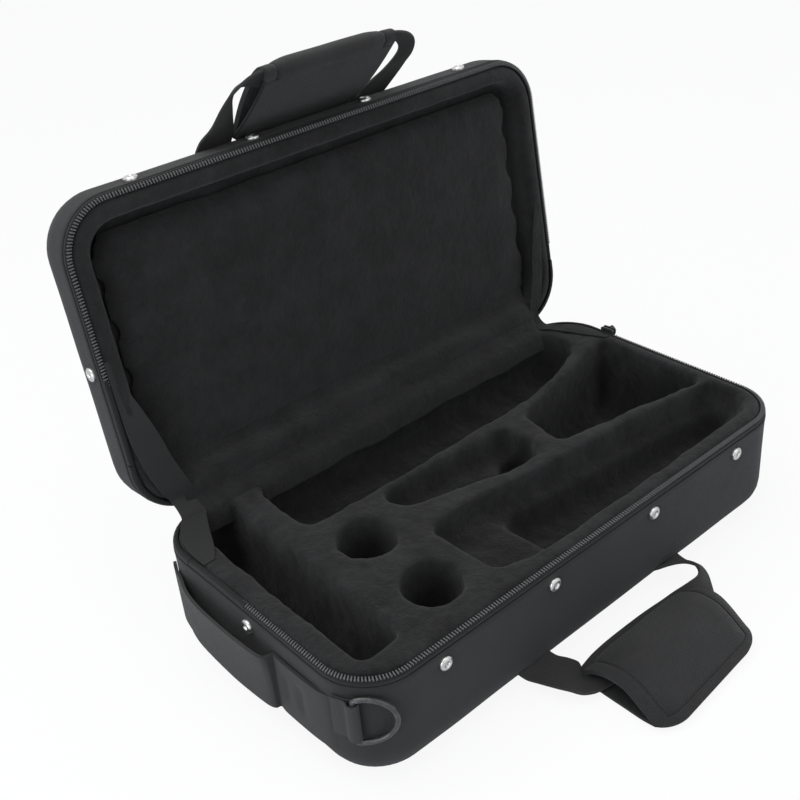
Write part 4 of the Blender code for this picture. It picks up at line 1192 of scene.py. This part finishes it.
def makeRing(name, turn):
    half = ring["innerHeight"] / 2 + ring["wire"]
    start = ring["depth"] * ring["shoulder"]
    upper = [(x, half - y) for x, y in ring["bends"]] + [(start * 0.7, half)]
    bow = []
    for i in range(1, ring["bowSteps"]):
        angle = math.pi / 2 - i * math.pi / ring["bowSteps"]
        bow.append((start + (ring["depth"] - start) * math.cos(angle), half * math.sin(angle)))
    lower = [(x, -y) for x, y in reversed(upper)]
    outline = upper + bow + lower + [(0, half * share) for share in (-0.4, 0, 0.4)]
    curve = bpy.data.curves.new(name, "CURVE")
    curve.dimensions = "3D"
    curve.bevel_depth = ring["wire"]
    curve.bevel_resolution = 5
    curve.resolution_u = 4
    spline = curve.splines.new("NURBS")
    spline.points.add(len(outline) - 1)
    for knot, (x, y) in zip(spline.points, outline):
        knot.co = (x, y, 0, 1)
    spline.use_cyclic_u = True
    spline.order_u = 3
    only(linked(name, curve))
    bpy.ops.object.convert(target="MESH")
    piece = bpy.context.object
    way = ring["corner"] + math.pi / 2 + ring["rest"]
    place = Matrix.Translation(aroundCorner(0, barOut) + Vector((0, 0, ring["height"])))
    piece.data.transform(turn @ place @ Matrix.Rotation(way, 4, "Z") @ Matrix.Rotation(math.pi / 2, 4, "X"))
    return smoothed(outward(piece), 60)


def makeTab(name, turn):
    thick = ring["tabThickness"]
    tail = ring["tabTail"]
    layer = gap + thick / 2
    loop = ring["wire"] + gap + thick / 2
    upper = layer + thick + gap
    path = [(tail, layer), (tail * 2 / 3, layer), (tail / 3, layer)]
    for i in range(ring["tabSteps"] + 1):
        angle = -math.pi / 2 - i * math.pi / ring["tabSteps"]
        path.append((loop * math.cos(angle), barOut + loop * math.sin(angle)))
    path += [(loop * 0.8, barOut + loop * 0.8), (loop * 1.5, (barOut + upper) / 2 + gap), (loop * 2.2, upper),
             (tail * 3 / 4, upper), (tail, upper)]
    line = smoothLine([aroundCorner(a, o) for a, o in path], 3)

    def spot(u, v):
        x, y, z = alongLine(line, v)
        return turn @ Vector((x, y, ring["height"] + (u - 0.5) * ring["tabHeight"]))
    piece = bent(name, 14, len(line) - 1, spot, (ring["tabHeight"], ring["tabCut"]), thick)
    return softEdges(piece, ring["tabEdge"])


for side, turn in (("left", inPlace), ("right", Matrix.Rotation(math.pi, 4, "Z"))):
    dressed(makeRing("d_ring_" + side + "_wire", turn), "blackMetal", "ring_" + side, "d_ring_" + side)
    dressed(makeTab("d_ring_" + side + "_tab_web", turn), "webbing", "base", "d_ring_" + side + "_tab")
print("rings made")


# hinge cloth, lining and the two corner ribbons cross the lid's joint
hinge = {
    "leg": 0.0140,
    "legMiddle": 0.55,
    "legFoot": 0.0030,
    "clothWidth": 0.0285,
    "thickness": 0.0010,
    # distance from the back, and height over the rim
    "liningBase": ((0.0150, -0.0120), (0.0143, -0.0075), (0.0134, -0.0036), (0.0118, -0.0008),
                   (0.0088, 0.0010), (0.0052, 0.0030)),
    "liningLid": ((0.0052, -0.0030), (0.0085, -0.0026), (0.0125, -0.0008), (0.0150, 0.0020),
                  (0.0172, 0.0062), (0.0200, 0.0098), (0.0250, 0.0112), (0.0310, 0.0122)),
    "liningOver": 0.0065,        # how far it reaches round the rear corners
    "liningWave": 0.0020,
    "liningHem": 0.0030,
    "liningEnd": 0.016,
    "ribbonThickness": 0.0007,
    # distance from the back, then how far its outer and inner edges keep from the end wall
    "ribbonBase": ((0.052, 0.0040, 0.0110), (0.040, 0.0040, 0.0180), (0.027, 0.0062, 0.0240),
                   (0.0150, 0.0118, 0.0300), (0.0070, 0.0178, 0.0345)),
    "ribbonLid": ((0.0070, 0.0178, 0.0345), (0.0170, 0.0130, 0.0315), (0.034, 0.0076, 0.0262),
                  (0.055, 0.0046, 0.0215), (0.080, 0.0040, 0.0140), (0.104, 0.0038, 0.0062)),
    "ribbonLift": 0.0014,        # clear of the pile by the hinge, sewn down into it at both ends
    "ribbonFree": 0.026,
    "ribbonSewn": 0.030,
    "ribbonSink": -0.9,
    "ribbonWave": 0.0009,
}


def opened(y, z):
    turned = Matrix.Rotation(-lidOpen, 3, "X") @ Vector((0, y, z))
    return case["hingeY"] + turned.y, baseTop + turned.z


def crossing(piece, look, node, foot, head, **sheet):
    # a cloth of both halves, dressed in its look with no body, its part hidden and its points baked where
    # they stand
    dressed(piece, look, None, node)
    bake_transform(piece)


def makeHingeStrip():
    half = arcX - gap
    skin = halfY + gap + hinge["thickness"] / 2
    lidSkin = skin - case["hingeY"]
    heights = (hinge["leg"], hinge["leg"] * hinge["legMiddle"], hinge["legFoot"])
    rows = [(skin, baseTop - z) for z in heights]
    rows += [opened(lidSkin, z) for z in reversed(heights)]
    line = smoothLine(rows, 6)

    def spot(u, v):
        return Vector(((u * 2 - 1) * half, *alongLine(line, v)))
    flat = (2 * half, hinge["clothWidth"])
    return bent("hinge_cloth", 96, len(line) - 1, spot, flat, hinge["thickness"]), flat


def makeHingeLining():
    # glued down from the cushion over the lid's frame and across the hinge to the insert
    half = arcX + hinge["liningOver"]
    rows = [(halfY - back, baseTop + lift) for back, lift in hinge["liningBase"]]
    rows += [opened(halfY - case["hingeY"] - back, lift) for back, lift in hinge["liningLid"]]
    line = smoothLine(rows, 5)

    def spot(u, v):
        x = (u * 2 - 1) * half
        y, z = alongLine(line, v)
        loose = math.sin(math.pi * unit((v - 0.35) / 0.65))
        wave = ripple(x * 42, v * 6, 3) * hinge["liningWave"] * loose
        hem = ripple(x * 34, 2, 7) * hinge["liningHem"] * max(1 - v / 0.28, 0)
        end = (max(abs(x) - half + hinge["liningEnd"], 0) / hinge["liningEnd"]) ** 2
        return Vector((x, y - wave * 0.9 - 0.0004 * loose + 0.0012 * end,
                       z + hem + wave * 0.3 - 0.0026 * end))
    flat = (2 * half, sum(runs(line)))
    return bent("hinge_lining_plush", 150, len(line) - 1, spot, flat, hinge["thickness"]), flat


def makeRibbon(name, side, narrowing):
    def lift(distance):
        free = 1 - (distance - hinge["ribbonFree"]) / hinge["ribbonSewn"]
        return hinge["ribbonLift"] * min(max(free, hinge["ribbonSink"]), 1)
    rows = [(halfY - distance, baseTop + lift(distance), outer, inner)
            for distance, outer, inner in hinge["ribbonBase"]]
    rows += [(*opened(halfY - case["hingeY"] - distance, -lift(distance)), outer, inner)
             for distance, outer, inner in hinge["ribbonLid"]]
    line = smoothLine(rows, 7)
    steps = runs(line, 2)
    widths = [float(row[3] - row[2]) for row in line]

    def spot(u, v):
        y, z, outer, inner = alongLine(line, v)
        inset = inner + (outer - inner) * narrowing * u
        wave = ripple(side * 4 + u * 0.8, v * 6, 2) * hinge["ribbonWave"]
        return Vector((side * (halfX - inset), y - wave * 0.7, z + wave * 0.7))
    piece = bent(name, 10, len(line) - 1, spot, (sum(widths) / len(line), sum(steps)),
                 hinge["ribbonThickness"])
    # cut from a strip of the widest width, tapering to both ends
    area = sum(step * (a + b) / 2 for step, a, b in zip(steps, widths, widths[1:])) * narrowing
    return piece, (max(widths) * narrowing, sum(steps)), area


piece, flat = makeHingeStrip()
crossing(piece, "oxford", "hinge_strip", (case["hingeY"], -0.0040), (case["hingeY"], 0.0040),
         flat=flat, rests_on=["base_cover_cloth", "lid_cover_cloth"])
piece, flat = makeHingeLining()
crossing(piece, "lining", "hinge_lining", (0.0925, 0.0004), (0.0950, 0.0042),
         flat=flat, rests_on=["insert_plush", "lid_frame_plush"])
for side, name, look, narrowing in ((-1, "left", "ribbon", 1.0), (1, "right", "lining", 0.55)):
    piece, flat, area = makeRibbon("stay_ribbon_" + name + "_cloth", side, narrowing)
    crossing(piece, look, "stay_ribbon_" + name, (0.0905, 0.0006), (0.0950, 0.0052),
             flat=flat, area=area, rests_on=["insert_plush", "lid_frame_plush"])
print("hinge cloth made")


# zip slider: two plates joined by a post, a bail on the outer one, and the pull hanging in it
slider = {
    "plate": 0.0010,
    "round": 0.0016,
    "ease": 0.00022,
    "narrowing": 0.30,
    "barIn": 0.0026,         # from the pull's bar back to the outer plate
    "post": 0.0011,
    "postRound": 0.0004,
    "postBack": (0.0034, 0.0008),
    "bail": 0.00065,
    "bailRadius": 0.0030,
    "bailStretch": 1.3,
    "bailSink": 0.0002,
    "pullThickness": 0.0011,
    "pullRound": 0.55,
    "pullTop": 0.0009,
    "eye": 0.0019,
    "eyeWire": 0.0005,
    "eyeOver": 0.0004,
    "hole": 0.0011,
    "lowHole": 0.0032,
    "lowHoleShare": 0.9,
    "cutter": 0.006,
}


def slab(name, low, high, rounding):
    # a plate whose edges along x are rounded, and all the others eased
    deselectAll()
    middle = (Vector(low) + Vector(high)) / 2
    bpy.ops.mesh.primitive_cube_add(size=1, location=middle, scale=Vector(high) - Vector(low))
    piece = settled(current(name))
    mode("EDIT")
    selectEdges(piece, lambda edge: abs((edge.verts[0].co - edge.verts[1].co).normalized().x) > aligned)
    bpy.ops.mesh.bevel(offset=rounding, segments=6)
    mode("OBJECT")
    return applied(piece, "BEVEL", width=slider["ease"], segments=2, limit_method="ANGLE",
                   angle_limit=math.radians(50))


def hoop(name, where, tilt, segments, radius, wire):
    deselectAll()
    bpy.ops.mesh.primitive_torus_add(location=where, rotation=(0, tilt, 0), major_segments=segments,
                                     minor_segments=12, major_radius=radius, minor_radius=wire)
    return settled(current(name))


def merged(name, parts):
    deselectAll()
    for part in parts:
        part.select_set(True)
    bpy.context.view_layer.objects.active = parts[0]
    bpy.ops.object.join()
    return smoothed(current(name), 40)


low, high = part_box("zip_slider")
pullLow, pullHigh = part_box("zip_pull")
pullBar = (pullLow.x + pullHigh.x) / 2


def makeSlider():
    plate = slider["plate"]
    middleY = (low.y + high.y) / 2
    middleZ = (low.z + high.z) / 2
    plateEnd = pullBar - slider["barIn"]
    inner = slab("slider_inner", low, (low.x + plate, high.y, high.z), slider["round"])
    outer = slab("slider_outer", (plateEnd - plate, low.y, low.z), (plateEnd, high.y, high.z),
                 slider["round"])

    def narrowed(spot, normal):
        back = (spot.y - low.y) / (high.y - low.y)
        return Vector((0, 0, (middleZ - spot.z) * slider["narrowing"] * back))
    for part in (inner, outer):
        nudge(part, narrowed)
    rear, front = slider["postBack"]
    post = slab("slider_post", (low.x + plate / 2, high.y - rear, middleZ - slider["post"] / 2),
                (plateEnd - plate / 2, high.y - front, middleZ + slider["post"] / 2), slider["postRound"])
    bail = hoop("slider_bail", (plateEnd - slider["bailSink"], middleY, middleZ), 0, 48,
                slider["bailRadius"], slider["bail"])
    only(bail)
    bpy.ops.transform.resize(value=(1, slider["bailStretch"], 1),
                             center_override=(plateEnd, middleY, middleZ))
    return merged("zip_slider_body", [outer, inner, post, settled(bail)])


def makePull():
    top = pullHigh.z
    middle = (pullLow.y + pullHigh.y) / 2
    thick = slider["pullThickness"] / 2
    tab = slab("pull_tab", (pullBar - thick, pullLow.y, pullLow.z),
               (pullBar + thick, pullHigh.y, top - slider["pullTop"]),
               (pullHigh.y - pullLow.y) / 2 * slider["pullRound"])
    for height, radius in ((top - slider["eye"], slider["hole"]),
                           (pullLow.z + slider["lowHole"], slider["hole"] * slider["lowHoleShare"])):
        deselectAll()
        bpy.ops.mesh.primitive_cylinder_add(vertices=28, radius=radius, depth=slider["cutter"],
                                            rotation=(0, math.pi / 2, 0), location=(pullBar, middle, height))
        cutter = current("pull_cutter")
        applied(tab, "BOOLEAN", object=cutter, operation="DIFFERENCE", solver="EXACT")
        bpy.data.objects.remove(cutter)
    eye = hoop("pull_eye", (pullBar, middle, top - slider["eye"]), math.pi / 2, 40,
               slider["hole"] + slider["eyeOver"], slider["eyeWire"])
    return merged("zip_pull_tab", [tab, eye])


dressed(makeSlider(), "blackMetal", "slider", "zip_slider")
dressed(makePull(), "blackMetal", "pull", "zip_pull")
for node in ("base_board", "lid_board"):      # kept as they come
    dressed(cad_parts[node], "board", None)
print("slider and boards made")


# floor, backdrop, lamps and camera
studio = {
    "floorSize": 8,
    "floorDrop": 0.0004,
    "floorColour": (0.86, 0.86, 0.87),
    "floorGlow": 0.90,       # share of plain white in the floor that the camera sees
    "worldColour": (0.93, 0.96, 1.0, 1),
    "worldStrength": 0.62,
    # where it is, where it aims, size, power, colour
    "lamps": {
        "topLamp": ((-0.35, 0.10, 1.25), (0, 0, 0.05), 1.1, 9.0, (1, 1, 1)),
        "frontLamp": ((0.25, -1.30, 0.75), (0, 0, 0.08), 0.9, 2.2, (1, 1, 1)),
        "leftLamp": ((-0.95, -0.30, 0.18), (-0.18, -0.02, 0.04), 0.5, 2.6, (0.88, 0.95, 1.0)),
    },
    "lens": 51.21,
    "azimuth": math.radians(-39.117),
    "elevation": math.radians(31.612),
    "roll": math.radians(-4.99),
    "distance": 0.7377,
    "right": -0.0480,
    "up": 0.1056,
}


def makeFloor():
    deselectAll()
    bpy.ops.mesh.primitive_plane_add(size=studio["floorSize"], location=(0, 0, -studio["floorDrop"]))
    floor = current("floor")
    look = Look("floorPaper", studio["floorColour"], 0.95, Specular_IOR_Level=0.1)
    seen = look.add("ShaderNodeLightPath", None, (), "Is Camera Ray")
    glow = look.add("ShaderNodeEmission", None, {"Color": (1, 1, 1, 1), "Strength": 1.0})
    paper = Wire(look, look.shader.outputs[0])
    mix = look.add("ShaderNodeMixShader", None, (seen * studio["floorGlow"], paper, glow))
    look.feed(look.tree.nodes["Material Output"].inputs["Surface"], mix)
    floor.data.materials.append(look.material)


def makeWorld():
    # plain white to the camera and in reflections, dimmer as light
    world = bpy.data.worlds.new("studio")
    bpy.context.scene.world = world
    world.use_nodes = True
    world.node_tree.nodes.clear()
    graph = Graph(world.node_tree)
    camera, glossy = (graph.add("ShaderNodeLightPath", None, (), out)
                      for out in ("Is Camera Ray", "Is Glossy Ray"))
    dim = graph.add("ShaderNodeBackground", None, {"Color": studio["worldColour"],
                                                   "Strength": studio["worldStrength"]})
    white = graph.add("ShaderNodeBackground", None, {"Color": (1, 1, 1, 1)})
    mix = graph.add("ShaderNodeMixShader", None, (camera.op("MAXIMUM", glossy), dim, white))
    graph.add("ShaderNodeOutputWorld", None, {"Surface": mix})


def addLamp(name, where, aim, size, power, colour):
    deselectAll()
    bpy.ops.object.light_add(type="AREA", location=where)
    lamp = bpy.context.object
    lamp.name = name
    lamp.data.size = size
    lamp.data.energy = power
    lamp.data.color = colour
    lamp.rotation_euler = (Vector(aim) - Vector(where)).to_track_quat("-Z", "Y").to_euler()


def addCamera():
    azimuth, elevation, roll = (studio[key] for key in ("azimuth", "elevation", "roll"))
    back = Vector((math.sin(azimuth) * math.cos(elevation), -math.cos(azimuth) * math.cos(elevation),
                   math.sin(elevation)))
    right = (-back).cross(Vector((0, 0, 1))).normalized()
    up = right.cross(-back)
    across = right * math.cos(roll) + up * math.sin(roll)
    above = up * math.cos(roll) - right * math.sin(roll)
    data = bpy.data.cameras.new("camera")
    data.lens = studio["lens"]
    data.sensor_width = 36
    data.clip_start = 0.01
    camera = linked("camera", data)
    turn = Matrix((across, above, back)).transposed().to_4x4()
    turn.translation = back * studio["distance"] + right * studio["right"] + up * studio["up"]
    camera.matrix_world = turn
    bpy.context.scene.camera = camera


makeFloor()
makeWorld()
for name, settings in studio["lamps"].items():
    addLamp(name, *settings)
addCamera()
bpy.context.scene.view_settings.view_transform = "Standard"
print("studio ready")
